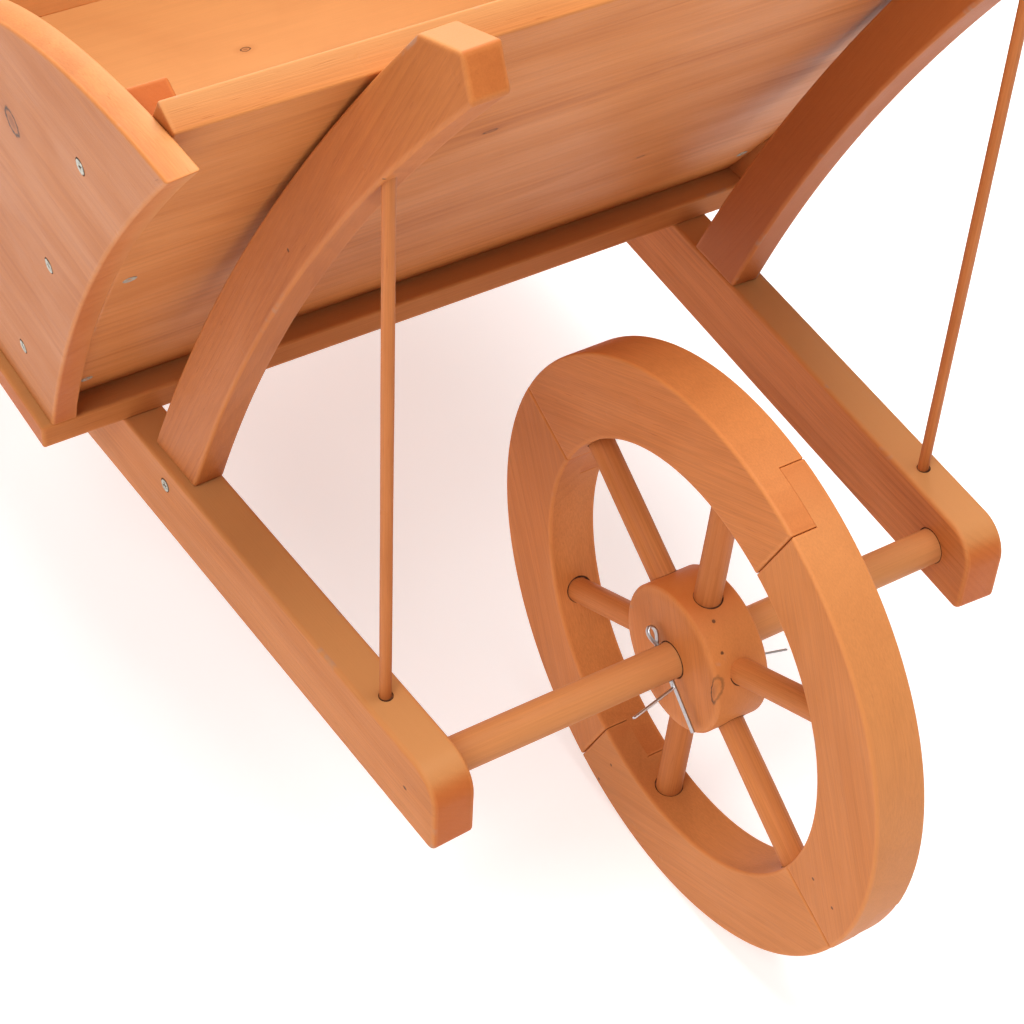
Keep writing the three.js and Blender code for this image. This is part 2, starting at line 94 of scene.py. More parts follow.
class Slot(Enum):
    """The record's material slots."""

    BOARDS = "stained_boards"
    BATTENS = "stained_battens"
    DOWELS = "stained_dowels"
    WHEEL_WOOD = "stained_wheel_wood"
    STEEL = "pin_steel"
    ZINC = "screw_zinc"


# ------------------------------------------------------------------ outlines


def unit(vector: Sequence[float]) -> Array:
    """A vector scaled to length one."""
    vector = np.asarray(vector, float)
    return vector / np.linalg.norm(vector)


def arc(start: Sequence[float], end: Sequence[float], radius: float, turn: int, count: int) -> Array:
    """Points along a circle's arc between two points, both ends included.

    The centre lies off the chord's middle by sqrt(radius^2 - chord^2 / 4), on its left when
    the arc turns anticlockwise, and the points are evenly spaced in angle.

    Args:
        start: first point, (x, y).
        end: last point, (x, y).
        radius: the arc's radius.
        turn: 1 for an anticlockwise arc, -1 for a clockwise one.
        count: number of points.

    Returns:
        An array of count rows of (x, y).
    """
    start, end = np.asarray(start, float), np.asarray(end, float)
    chord = end - start
    length = np.linalg.norm(chord)
    left = np.array([-chord[1], chord[0]]) / length
    centre = (start + end) / 2 + turn * left * math.sqrt(radius**2 - length**2 / 4)
    first = math.atan2(*(start - centre)[::-1])
    sweep = (math.atan2(*(end - centre)[::-1]) - first) * turn % (2 * math.pi)
    angles = first + turn * np.linspace(0.0, sweep, count)
    return centre + radius * np.column_stack([np.cos(angles), np.sin(angles)])


def bezier(
    a: Sequence[float], b: Sequence[float], c: Sequence[float], d: Sequence[float], count: int
) -> Array:
    """Points of the cubic curve (1-t)^3 A + 3t(1-t)^2 B + 3t^2(1-t) C + t^3 D."""
    t = np.linspace(0, 1, count)[:, None]
    a, b, c, d = (np.asarray(p, float) for p in (a, b, c, d))
    return (1 - t) ** 3 * a + 3 * t * (1 - t) ** 2 * b + 3 * t**2 * (1 - t) * c + t**3 * d


def sharp_corners(outline: Array) -> Array:
    """True for each vertex at which a closed outline turns by more than CORNER_TURN."""
    before, after = outline - np.roll(outline, 1, 0), np.roll(outline, -1, 0) - outline
    lengths = np.linalg.norm(before, axis=1) * np.linalg.norm(after, axis=1)
    return np.sum(before * after, axis=1) < lengths * math.cos(CORNER_TURN)


def eased(outline: Array, sharp: Array, radius: float) -> tuple[Array, Array]:
    """Rounds the sharp corners of a closed outline.

    Each corner P becomes a quadratic curve (1-s)^2 A + 2 s (1-s) P + s^2 B between points A
    and B on its two edges, with one more point a little further out on each edge, which keeps
    the flat sides flat when shaded.

    Args:
        outline: closed anticlockwise outline, one (x, y) per row.
        sharp: True for each vertex that is a corner.
        radius: the distance from the corner to A and to B.

    Returns:
        The new outline, and for each of its points 1.0 on a rounded corner and 0.0 elsewhere.
    """
    before, after = np.roll(outline, 1, 0) - outline, np.roll(outline, -1, 0) - outline
    back, on = np.linalg.norm(before, axis=1), np.linalg.norm(after, axis=1)
    before, after = before / back[:, None], after / on[:, None]
    runs = np.where(sharp, CORNER_STEPS + 3, 1)
    owner = np.repeat(np.arange(len(outline)), runs)
    place = np.arange(len(owner)) - np.repeat(np.cumsum(runs) - runs, runs)
    s = np.clip((place - 1) / CORNER_STEPS, 0, 1)[:, None]
    outer = (place == 0) | (place == CORNER_STEPS + 2)
    reach = radius + np.where(outer, CORNER_SUPPORT, 0.0)
    limit = 0.45 * np.minimum(back, on)
    reach = np.where(sharp[owner], np.minimum(reach, limit[owner] * np.where(outer, 1, 0.8)), 0.0)[:, None]
    corner = outline[owner]
    a, b = corner + before[owner] * reach, corner + after[owner] * reach
    points = (1 - s) ** 2 * a + 2 * s * (1 - s) * corner + s**2 * b
    return points, (sharp[owner] & ~outer).astype(float)


def inward(outline: Array) -> Array:
    """For each vertex, the shift that insets the outline by one unit: the sum of its two edges'
    inward normals over one plus their dot product."""
    edge = np.roll(outline, -1, 0) - outline
    edge /= np.maximum(np.linalg.norm(edge, axis=1), 1e-9)[:, None]
    normal = np.column_stack([-edge[:, 1], edge[:, 0]])
    last = np.roll(normal, 1, 0)
    return (normal + last) / (1 + np.sum(normal * last, axis=1))[:, None].clip(0.35)


# ------------------------------------------------------------------ placing and shells


@dataclass(frozen=True)
class Placement:
    """Where a piece's own axes lie in the barrow's frame, in millimetres."""

    origin: tuple[float, float, float] = (0.0, 0.0, 0.0)
    x: tuple[float, float, float] = (1.0, 0.0, 0.0)
    y: tuple[float, float, float] = (0.0, 1.0, 0.0)
    z: tuple[float, float, float] = (0.0, 0.0, 1.0)

    @property
    def axes(self) -> Array:
        """The three axes as the rows of a matrix."""
        return np.array([self.x, self.y, self.z], float)

    def place(self, points: Array) -> Array:
        """The points in the barrow's frame: origin + x-axis px + y-axis py + z-axis pz."""
        return np.asarray(self.origin, float) + points @ self.axes

    @property
    def mirrored(self) -> bool:
        """True if the axes are left-handed, so that faces must be turned over."""
        return np.linalg.det(self.axes) < 0


@dataclass(frozen=True)
class Grain:
    """How a piece of wood lay in its tree.

    Attributes:
        along: the direction of the fibres, in the piece's own axes.
        bark: the direction towards the bark, in the piece's own axes.
        seed: tells one board's pattern from another's.
        depth: distance from the pith to the piece's origin.
        shift: sideways distance from the pith.
        tone: how much lighter the board took the stain, from about -1 to 1.
    """

    along: tuple[float, float, float]
    bark: tuple[float, float, float]
    seed: int
    depth: float = 70.0
    shift: float = 0.0
    tone: float = 0.0

    def coordinates(self, points: Array) -> Array:
        """Metres along the fibres, sideways and outwards from the pith, for each point."""
        along = unit(self.along)
        side = unit(np.cross(self.bark, along))
        bark = np.cross(along, side)
        local = points @ np.column_stack([along, side, bark])
        return (local + [1000 * 1.37 * self.seed, self.shift, self.depth]) * MM


@dataclass
class Shell:
    """A closed surface with the facts that wood finishes read at each vertex.

    Attributes:
        points: vertex positions in the piece's own axes, in millimetres.
        faces: vertex numbers of each face.
        edge: 1.0 where a vertex lies on a worn arris, falling to 0.0 inside the faces.
        normal: unit vector out of the surface at each vertex.
        slots: material number of each face.
        grain: metres along, across and out from the pith at each vertex.
        end: 1.0 where the surface cuts across the fibres, 0.0 where it runs with them.
        tone: how light the board is at each vertex, with painted light added on inner faces and treads.
    """

    points: Array
    faces: list[list[int]]
    edge: Array
    normal: Array
    slots: list[int] = field(default_factory=list)
    grain: Optional[Array] = None
    end: Optional[Array] = None
    tone: Optional[Array] = None

    def with_grain(self, grain: Grain) -> "Shell":
        """The same shell with its place in the tree worked out."""
        self.grain = grain.coordinates(self.points)
        self.end = np.abs(self.normal @ unit(grain.along))
        self.tone = np.full(len(self.points), grain.tone)
        return self

    def placed(self, placement: Placement) -> "Shell":
        """The same shell in the barrow's frame, facing outwards."""
        if self.grain is None:
            self.with_grain(Grain((0, 0, 1), (1, 0, 0), 0))
        self.points = placement.place(self.points)
        if placement.mirrored:
            self.faces = [face[::-1] for face in self.faces]
        return self

    def in_slot(self, slot: int) -> "Shell":
        """The same shell with all of its faces in one material slot."""
        self.slots = [slot] * len(self.faces)
        return self


def joined(shells: Sequence[Shell]) -> Shell:
    """Several placed shells as one, with their faces renumbered."""
    starts = np.cumsum([0] + [len(shell.points) for shell in shells])
    faces = [[i + int(start) for i in face] for shell, start in zip(shells, starts) for face in shell.faces]
    slots = [slot for shell in shells for slot in (shell.slots or [0] * len(shell.faces))]
    names = ("points", "edge", "normal", "grain", "end", "tone")
    rows = {name: np.concatenate([getattr(shell, name) for shell in shells]) for name in names}
    return Shell(faces=faces, slots=slots, **rows)


def skin(rings: Array, edge: Array, wrap: bool = False) -> Shell:
    """Closes a stack of rings into a shell.

    Quads join each ring to the next; the first and last rings are closed by flat caps, or
    with wrap the last ring is joined to the first, which makes a hollow ring.

    Args:
        rings: array of ring, vertex round the ring, and (x, y, z). Rings run anticlockwise
            when seen from the end that the stack rises to.
        edge: wear value of each vertex, ring by ring.
        wrap: join the last ring to the first.

    Returns:
        The shell, with its faces pointing outwards.
    """
    count, around = rings.shape[:2]
    ring = np.arange(count if wrap else count - 1)[:, None]
    i = np.arange(around)[None, :]
    here, above = ring * around, ((ring + 1) % count) * around
    following = (i + 1) % around
    quads = np.stack([here + i, here + following, above + following, above + i], axis=-1)
    faces = quads.reshape(-1, 4).tolist()
    if not wrap:
        faces.append(list(range(around))[::-1])
        faces.append(list(range((count - 1) * around, count * around)))
    rise = np.roll(rings, -1, 0) - np.roll(rings, 1, 0) if wrap else np.gradient(rings, axis=0)
    normal = np.cross(np.roll(rings, -1, 1) - np.roll(rings, 1, 1), rise)
    normal /= np.linalg.norm(normal, axis=2, keepdims=True).clip(1e-9)
    return Shell(rings.reshape(-1, 3), faces, edge.reshape(-1), normal.reshape(-1, 3))


def board(
    outline: Array,
    thickness: float,
    ease: tuple[float, float] = (1.0, 1.0),
    corner: float = 1.0,
    back_outline: Optional[Array] = None,
    margin: float = 3.0,
) -> Shell:
    """A sawn board: an outline given a thickness along z, with its edges eased.

    Each face's edge is a quarter round: for an angle a from 0 to 90 degrees, the ring is inset
    by r (1 - sin a) and lies r (1 - cos a) from the face. A ring inset by d has the outline's
    corners rounded by what is left of their radius, c - d. Rings just inside each face and
    just beside each round keep the flats flat, and tell wear and the painted highlight how near an arris is.

    Args:
        outline: closed outline of the face at z = 0.
        thickness: distance to the other face.
        ease: radii of the rounds at z = 0 and at the other face; 0 leaves it sharp.
        corner: radius of the outline's own corners.
        back_outline: the other face's outline where it differs, vertex for vertex.
        margin: how far inside the round the innermost ring lies.

    Returns:
        The board as a closed shell.
    """
    back_outline = outline if back_outline is None else back_outline
    angles = np.radians(np.linspace(0, 90, 5))
    beside, past = 0.8, 1.0
    rows: list[tuple[float, float, float]] = []
    for end, radius in enumerate(ease):
        inset = [radius + margin, radius + beside, *(radius * (1 - np.sin(angles))), 0.0]
        depth = [0.0, 0.0, *(radius * (1 - np.cos(angles))), radius + past]
        wear_and_highlight = [0.0, 0.5, *([1.0] * len(angles)), 0.2]
        part = list(zip(inset, depth, wear_and_highlight)) if radius > 0 else [(0.0, 0.0, 0.0)]
        rows += part if end == 0 else [(a, thickness - b, c) for a, b, c in part[::-1]]
    sharp = sharp_corners(outline)
    stack, edge = [], []
    for inset, depth, wear_and_highlight in rows:
        share = depth / thickness
        level = outline * (1 - share) + back_outline * share
        ring, rounded = eased(level + inward(level) * inset, sharp, max(corner - inset, 0.08))
        stack.append(np.column_stack([ring, np.full(len(ring), depth)]))
        edge.append(np.maximum(wear_and_highlight, rounded * (inset < 1e-6)))
    return skin(np.array(stack), np.array(edge))


def turned(profile: Array, segments: int, wrap: bool = False, wobble: float = 0.0, seed: int = 0) -> Shell:
    """A piece turned about its own z axis.

    Ring k holds the points (r cos a, r sin a, h) of the profile's k-th (r, h), for angles a all
    round. A wobble adds three slow waves to the radius, as hand work does.

    Args:
        profile: rows of (radius, height), rising, or closed on itself with wrap.
        segments: points round each ring.
        wrap: the profile is a closed loop that doesn't touch the axis.
        wobble: height of the waves.
        seed: phase of the waves.

    Returns:
        The turned piece as a closed shell.
    """
    angle = np.linspace(0, 2 * math.pi, segments, endpoint=False)[None, :]
    wave = np.sin(2 * angle + seed) + 0.6 * np.sin(3 * angle + 2.3 * seed) + 0.4 * np.sin(5 * angle + seed)
    radius = profile[:, :1] + wobble * wave * (profile[:, :1] > 0.5 * profile[:, 0].max())
    height = np.broadcast_to(profile[:, 1:2], radius.shape)
    rings = np.stack([radius * np.cos(angle), radius * np.sin(angle), height], axis=-1)
    across, rise = np.abs(np.gradient(profile, axis=0)).T
    edge = np.broadcast_to((across > 0.1 * rise)[:, None].astype(float), radius.shape)
    return skin(rings, edge, wrap)


def dowel(
    radius: float, length: float, ease: float, segments: int = 48, wobble: float = 0.05, seed: int = 0
) -> Shell:
    """A round bar along z with eased ends.

    At height z its radius is r + w sin(z / 23 + seed) + w / 2 sin(z / 9 + 2 seed).

    Args:
        radius: the bar's radius r.
        length: its length.
        ease: radius of the rounds at its ends.
        segments: points round it.
        wobble: height w of the waves along it and round it.
        seed: phase of the waves.

    Returns:
        The bar as a closed shell that starts at z = 0.
    """
    angles = np.radians(np.linspace(0, 90, 4))
    end = np.column_stack([radius - ease * (1 - np.sin(angles)), ease * (1 - np.cos(angles))])
    middle = np.linspace(ease, length - ease, 14)[1:-1]
    wave = radius + wobble * np.sin(middle / 23.0 + seed) + 0.5 * wobble * np.sin(middle / 9.0 + 2 * seed)
    rows = [end, np.column_stack([wave, middle]), (end * [1, -1] + [0, length])[::-1]]
    return turned(np.concatenate(rows), segments, wobble=wobble, seed=seed)


def ribbon_round(inner: float, outer: float, surface: float, concave: bool) -> Shell:
    """A thin ring that lies on a cylinder or, where surface is 0, on a plane.

    At distance q from the ring's own z axis, in direction a, the ring's height is that of a
    cylinder of radius R whose axis crosses z at right angles: sqrt(R^2 - (q sin a)^2), plus or
    minus GAP_LIFT. The cylinder's axis is the ring's x axis.

    Args:
        inner: inner radius.
        outer: outer radius.
        surface: the cylinder's radius, or 0 for a plane at height 0.
        concave: the ring lies inside the cylinder, such as on a rim's inner face.

    Returns:
        The ring as a closed shell, its body sunk GAP_DEPTH below the surface.
    """
    angle = np.linspace(0, 2 * math.pi, GAP_SEGMENTS, endpoint=False)[None, :]
    reach = np.array([inner, outer, outer, inner])[:, None]
    rise = np.array([-GAP_DEPTH, -GAP_DEPTH, GAP_LIFT, GAP_LIFT])[:, None]
    rise = -rise if concave else rise
    bend = np.sqrt(surface**2 - (reach * np.sin(angle)) ** 2) if surface else np.zeros_like(reach * angle)
    rings = np.stack([reach * np.cos(angle), reach * np.sin(angle), bend + rise], axis=-1)
    shell = skin(rings, np.zeros(rings.shape[:2]), wrap=True)
    if concave:
        shell.faces = [face[::-1] for face in shell.faces]
    return shell


def row_point(point: Sequence[float]) -> tuple[float, float, float]:
    """A point of the barrow's frame, in metres of the row frame."""
    wheel_y = float(sum(corner.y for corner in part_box("hub")) / 2)
    return (point[0] * MM, point[1] * MM + wheel_y, point[2] * MM)


def add_piece(
    node: str,
    shells: Sequence[Shell],
    materials: Sequence[bpy.types.Material],
    body: Body = Body.CHASSIS,
    painted_top_light: float = 0.0,
) -> None:
    """Puts placed shells into the scene as one piece, which stands for a node of the frame.

    Args:
        node: the node; the piece's name is the node's with "_look" added.
        shells: the shells, already in the barrow's frame.
        materials: the finishes of their material slots, in order.
        body: the rigid body that it rides on.
        painted_top_light: painted light from above, how much lighter its tone is where it faces up.
    """
    shell = joined(shells)
    name = f"{node}_look"
    data = bpy.data.meshes.new(name)
    data.from_pydata((shell.points * MM + row_point((0, 0, 0))).tolist(), [], shell.faces)
    data.polygons.foreach_set("use_smooth", np.ones(len(shell.faces), bool))
    data.polygons.foreach_set("material_index", np.array(shell.slots, np.int32))
    grain = data.attributes.new("grain", "FLOAT_VECTOR", "POINT")
    grain.data.foreach_set("vector", shell.grain.astype(np.float32).ravel())
    facing = np.empty(3 * len(shell.points), np.float32)
    data.vertex_normals.foreach_get("vector", facing)
    # Painted light: faces that point up get a lighter tone, as if lit from above.
    tone = shell.tone + painted_top_light * np.clip(facing[2::3], 0.0, 1.0) ** 2
    for key, values in (("edge", shell.edge), ("end", shell.end), ("tone", tone)):
        layer = data.attributes.new(key, "FLOAT", "POINT")
        layer.data.foreach_set("value", values.astype(np.float32))
    data.set_sharp_from_angle(angle=SHARP_EDGE)
    data.validate()
    piece = bpy.data.objects.new(name, data)
    bpy.context.scene.collection.objects.link(piece)
    for material in materials:
        data.materials.append(material)
    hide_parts(node)
    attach(piece, body.value)
    LOG.info("%s: %d vertices on %s", name, len(shell.points), body.value)


# ------------------------------------------------------------------ shader graphs


class Graph:
    """Short calls for building a node tree; each returns the socket of its result."""

    def __init__(self, tree: bpy.types.NodeTree) -> None:
        """Takes the node tree that the calls add to.

        Args:
            tree: the node tree.
        """
        self.tree = tree

    def node(self, kind: str, **settings: object) -> bpy.types.Node:
        """A new node with some of its properties set."""
        made = self.tree.nodes.new(kind)
        for key, value in settings.items():
            setattr(made, key, value)
        return made

    def feed(self, socket: Socket, value: object) -> None:
        """Links a socket, or sets a plain value, into an input."""
        if isinstance(value, bpy.types.NodeSocket):
            self.tree.links.new(value, socket)
        elif value is not None:
            socket.default_value = value

    def math(
        self, operation: str, a: object, b: object = None, c: object = None, clamp: bool = False
    ) -> Socket:
        """A Math node's result."""
        made = self.node("ShaderNodeMath", operation=operation, use_clamp=clamp)
        for socket, value in zip(made.inputs, (a, b, c)):
            self.feed(socket, value)
        return made.outputs[0]

    def times(self, a: object, b: object, clamp: bool = False) -> Socket:
        """The product of two values."""
        return self.math("MULTIPLY", a, b, clamp=clamp)

    def plus_times(self, base: object, a: object, b: object, clamp: bool = False) -> Socket:
        """A base value with the product of two others added."""
        return self.math("MULTIPLY_ADD", a, b, base, clamp)

    def vector(self, operation: str, a: object, b: object = None) -> Socket:
        """A Vector Math node's result."""
        made = self.node("ShaderNodeVectorMath", operation=operation)
        self.feed(made.inputs[0], a)
        if b is not None:
            self.feed(made.inputs[1], b)
        return made.outputs["Value" if operation == "LENGTH" else "Vector"]

    def noise(
        self, vector: object, scale: float, detail: float = 3.0, rough: float = 0.5, warp: float = 0.0
    ) -> Socket:
        """A noise texture's value."""
        made = self.node("ShaderNodeTexNoise", noise_dimensions="3D")
        self.feed(made.inputs["Vector"], vector)
        made.inputs["Scale"].default_value = scale
        made.inputs["Detail"].default_value = detail
        made.inputs["Roughness"].default_value = rough
        made.inputs["Distortion"].default_value = warp
        return made.outputs["Fac"]

    def remap(
        self, value: object, low: float, high: float, to_low: float = 0.0, to_high: float = 1.0
    ) -> Socket:
        """A smooth ramp of a value between two limits."""
        made = self.node("ShaderNodeMapRange", interpolation_type="SMOOTHSTEP")
        self.feed(made.inputs["Value"], value)
        limits = {"From Min": low, "From Max": high, "To Min": to_low, "To Max": to_high}
        for key, number in limits.items():
            self.feed(made.inputs[key], number)
        return made.outputs[0]

    def blend(self, share: object, a: object, b: object, mode: str = "MIX") -> Socket:
        """A mix of two colours."""
        made = self.node("ShaderNodeMix", data_type="RGBA", blend_type=mode, clamp_factor=True)
        self.feed(made.inputs["Factor"], share)
        self.feed(made.inputs[6], a)
        self.feed(made.inputs[7], b)
        return made.outputs[2]

    def split(self, vector: object) -> tuple[Socket, Socket, Socket]:
        """A vector's three numbers."""
        made = self.node("ShaderNodeSeparateXYZ")
        self.feed(made.inputs[0], vector)
        return tuple(made.outputs)

    def combine(self, x: object, y: object, z: object) -> Socket:
        """A vector from three numbers."""
        made = self.node("ShaderNodeCombineXYZ")
        for socket, value in zip(made.inputs, (x, y, z)):
            self.feed(socket, value)
        return made.outputs[0]

    def group(self, shared: bpy.types.NodeTree, **inputs: object) -> bpy.types.Node:
        """A shared effect placed in this tree, with its inputs by name."""
        made = self.node("ShaderNodeGroup", node_tree=shared)
        for key, value in inputs.items():
            self.feed(made.inputs[key], value)
        return made

    def attribute(self, name: str, output: str = "Fac") -> Socket:
        """One of the mesh's own vertex values."""
        return self.node("ShaderNodeAttribute", attribute_name=name).outputs[output]

    def bump(self, height: Socket, strength: float, distance: float) -> Socket:
        """A normal tilted by a height."""
        made = self.node("ShaderNodeBump")
        made.inputs["Strength"].default_value = strength
        made.inputs["Distance"].default_value = distance
        self.feed(made.inputs["Height"], height)
        return made.outputs[0]


def new_material(name: str) -> tuple[bpy.types.Material, Graph, bpy.types.Node, Socket]:
    """Starts a material.

    Args:
        name: the material's name.

    Returns:
        The material, its graph, its Principled shader and the Object coordinates.
    """
    material = bpy.data.materials.new(name)
    material.use_nodes = True
    graph = Graph(material.node_tree)
    position = graph.node("ShaderNodeTexCoord").outputs["Object"]
    return material, graph, material.node_tree.nodes["Principled BSDF"], position


def new_effect(
    name: str, inputs: Sequence[tuple[str, str, float]], outputs: Sequence[str]
) -> tuple[Graph, dict[str, Socket], bpy.types.Node]:
    """Starts a shared shader effect.

    Args:
        name: the effect's name.
        inputs: name, "Vector" or "Float", and default of each input.
        outputs: names of the outputs, all plain values.

    Returns:
        The graph, its inputs by name, and the node that takes its outputs.
    """
    tree = bpy.data.node_groups.new(name, "ShaderNodeTree")
    for label, kind, default in inputs:
        socket = tree.interface.new_socket(label, in_out="INPUT", socket_type="NodeSocket" + kind)
        if kind == "Float":
            socket.default_value = default
    for label in outputs:
        tree.interface.new_socket(label, in_out="OUTPUT", socket_type="NodeSocketFloat")
    graph = Graph(tree)
    source, sink = graph.node("NodeGroupInput"), graph.node("NodeGroupOutput")
    return graph, {label: source.outputs[label] for label, _, _ in inputs}, sink


class Effects:
    """The shader effects that the finishes share, each built once."""

    def __init__(self) -> None:
        """Builds every effect."""
        self.rings = self._rings()
        self.fibres = self._fibres()
        self.knot = self._knot()
        self.wear_and_highlight = self._wear_and_highlight()
        self.pit = self._pit()
        self.marks = self._marks()
        self.drawn = self._drawn()

    @staticmethod
    def _rings() -> bpy.types.NodeTree:
        """Growth rings: the distance from the pith, bent by slow noise along the fibres, over
        the ring's width; its fraction rises slowly to a dark line of late wood and drops."""
        inputs = [("Grain", "Vector", 0.0), ("Width", "Float", 0.004), ("Wander", "Float", 0.006)]
        inputs.append(("Swirl", "Float", 0.0))
        graph, given, sink = new_effect("Growth rings", inputs, ["Late"])
        along, side, out = graph.split(given["Grain"])
        slow = graph.vector("MULTIPLY", given["Grain"], (2.2, 9.0, 9.0))
        quick = graph.vector("MULTIPLY", given["Grain"], (14.0, 60.0, 60.0))
        bend = graph.math("SUBTRACT", graph.noise(slow, 1.0, 2.0), 0.5)
        ripple = graph.math("SUBTRACT", graph.noise(quick, 1.0, 3.0), 0.5)
        radius = graph.vector("LENGTH", graph.combine(0.0, side, out))
        radius = graph.plus_times(radius, bend, graph.times(given["Wander"], 5.0))
        radius = graph.plus_times(radius, ripple, graph.times(given["Wander"], 0.35))
        radius = graph.math("ADD", radius, given["Swirl"])
        ring = graph.math("DIVIDE", radius, given["Width"])
        uneven = graph.noise(graph.combine(0.0, graph.times(ring, 0.37), 0.0), 1.0, 1.0)
        ring = graph.plus_times(ring, uneven, 2.2)
        share = graph.math("FRACT", ring)
        line = graph.times(graph.remap(share, 0.25, 0.86), graph.remap(share, 0.9, 1.0, 1.0, 0.0))
        place = graph.combine(graph.times(along, 1.3), graph.math("FLOOR", ring), 0.0)
        strength = graph.remap(graph.noise(place, 0.9, 1.0), 0.3, 0.7, 0.35, 1.0)
        fade = graph.remap(graph.noise(slow, 1.7, 2.0, 0.6), 0.36, 0.62, 0.2, 1.0)
        graph.feed(sink.inputs["Late"], graph.times(line, graph.times(strength, fade)))
        return graph.tree

    @staticmethod
    def _fibres() -> bpy.types.NodeTree:
        """Fibres, short dark pores, streaks and stain blotches: noise drawn out along the grain
        at four sizes, the second one cut off high so that only short dashes are left."""
        names = ["Fibre", "Pores", "Blotch", "Streak"]
        graph, given, sink = new_effect("Fibres", [("Grain", "Vector", 0.0)], names)
        sizes = (
            ("Fibre", (26.0, 1400.0, 1400.0), (3.0, 0.62, 0.0), (0.3, 0.7)),
            ("Pores", (60.0, 1100.0, 1100.0), (2.0, 0.5, 0.0), (0.66, 0.76)),
            ("Blotch", (8.0, 24.0, 24.0), (3.0, 0.55, 0.4), (0.3, 0.7)),
            ("Streak", (5.0, 130.0, 130.0), (3.0, 0.6, 0.5), (0.32, 0.68)),
        )
        for name, scale, kind, limits in sizes:
            noise = graph.noise(graph.vector("MULTIPLY", given["Grain"], scale), 1.0, *kind)
            graph.feed(sink.inputs[name], graph.remap(noise, *limits))
        return graph.tree

    @staticmethod
    def _spot(
        name: str, radius: float, outputs: Sequence[str]
    ) -> tuple[Graph, dict[str, Socket], bpy.types.Node, Socket]:
        """Starts an effect round a point.

        Args:
            name: the effect's name.
            radius: the radius that stands in its input at first, in metres.
            outputs: names of its outputs.

        Returns:
            What new_effect gives, and the distance to the point over the radius.
        """
        inputs = [(label, "Vector", 0.0) for label in ("Position", "Centre", "Stretch")]
        graph, given, sink = new_effect(name, [*inputs, ("Radius", "Float", radius)], outputs)
        offset = graph.vector("SUBTRACT", given["Position"], given["Centre"])
        offset = graph.vector("MULTIPLY", offset, given["Stretch"])
        return graph, given, sink, graph.math("DIVIDE", graph.vector("LENGTH", offset), given["Radius"])

    @classmethod
    def _knot(cls) -> bpy.types.NodeTree:
        """One knot: masks of its dark heart, its rim and the halo round it, and the swirl that
        pushes the growth rings aside, all from the distance to its centre over its radius."""
        graph, given, sink, away = cls._spot("Knot", 0.004, ["Heart", "Rim", "Halo", "Swirl"])
        jitter = graph.math("SUBTRACT", graph.noise(given["Position"], 420.0, 2.0), 0.5)
        away = graph.math("ADD", away, graph.times(jitter, 0.5))
        rim = graph.times(graph.remap(away, 0.7, 0.95), graph.remap(away, 1.0, 1.25, 1.0, 0.0))
        swirl = graph.times(graph.remap(away, 0.6, 5.0, 1.0, 0.0), given["Radius"])
        graph.feed(sink.inputs["Heart"], graph.remap(away, 0.25, 0.85, 1.0, 0.0))
        graph.feed(sink.inputs["Rim"], rim)
        graph.feed(sink.inputs["Halo"], graph.remap(away, 1.0, 3.2, 1.0, 0.0))
        graph.feed(sink.inputs["Swirl"], graph.times(swirl, 1.6))
        return graph.tree

    @classmethod
    def _pit(cls) -> bpy.types.NodeTree:
        """A small nail mark: a disc with a ragged soft rim round a point."""
        graph, given, sink, away = cls._spot("Nail mark", 0.001, ["Mark"])
        away = graph.plus_times(away, graph.noise(given["Position"], 900.0, 1.0), 0.5)
        graph.feed(sink.inputs["Mark"], graph.remap(away, 0.9, 1.35, 1.0, 0.0))
        return graph.tree

    @staticmethod
    def _wear_and_highlight() -> bpy.types.NodeTree:
        """Worn arrises with a painted highlight: the mesh's edge value broken up by two sizes of noise.
        Rub is the paler wood along most edges, partly wear and partly painted highlight, and Scuff the rare
        grey bruises on them."""
        inputs = [("Edge", "Float", 0.0), ("Position", "Vector", 0.0), ("Amount", "Float", 1.0)]
        graph, given, sink = new_effect("Edge wear", inputs, ["Rub", "Scuff"])
        broken = graph.noise(given["Position"], 55.0, 4.0, 0.6)
        near = graph.remap(graph.plus_times(given["Edge"], broken, 0.7), 0.75, 1.45)
        elsewhere = graph.vector("ADD", given["Position"], (0.31, 0.17, 0.53))
        rare = graph.remap(graph.noise(elsewhere, 17.0, 4.0, 0.7), 0.6, 0.68)
        scuff = graph.times(rare, graph.remap(given["Edge"], 0.35, 1.0))
        graph.feed(sink.inputs["Rub"], graph.times(near, given["Amount"]))
        graph.feed(sink.inputs["Scuff"], graph.times(scuff, given["Amount"]))
        return graph.tree

    @staticmethod
    def _marks() -> bpy.types.NodeTree:
        """Handling marks: faint dirt in clouds, and small dents from rare peaks of noise."""
        graph, given, sink = new_effect("Handling marks", [("Position", "Vector", 0.0)], ["Dirt", "Dents"])
        clouds = graph.noise(given["Position"], 7.0, 4.0, 0.6, 0.6)
        dents = graph.noise(given["Position"], 130.0, 1.0)
        graph.feed(sink.inputs["Dirt"], graph.remap(clouds, 0.5, 0.78))
        graph.feed(sink.inputs["Dents"], graph.remap(dents, 0.72, 0.8))
        return graph.tree

    @staticmethod
    def _drawn() -> bpy.types.NodeTree:
        """The surface of drawn metal: dull patches, and fine lines across the x axis."""
        graph, given, sink = new_effect("Drawn metal", [("Position", "Vector", 0.0)], ["Patches", "Lines"])
        patches = graph.noise(given["Position"], 600.0, 4.0, 0.65)
        lines = graph.vector("MULTIPLY", given["Position"], (300.0, 4000.0, 4000.0))
        graph.feed(sink.inputs["Patches"], graph.remap(patches, 0.45, 0.7))
        graph.feed(sink.inputs["Lines"], graph.noise(lines, 1.0, 2.0))
        return graph.tree


# ------------------------------------------------------------------ finishes


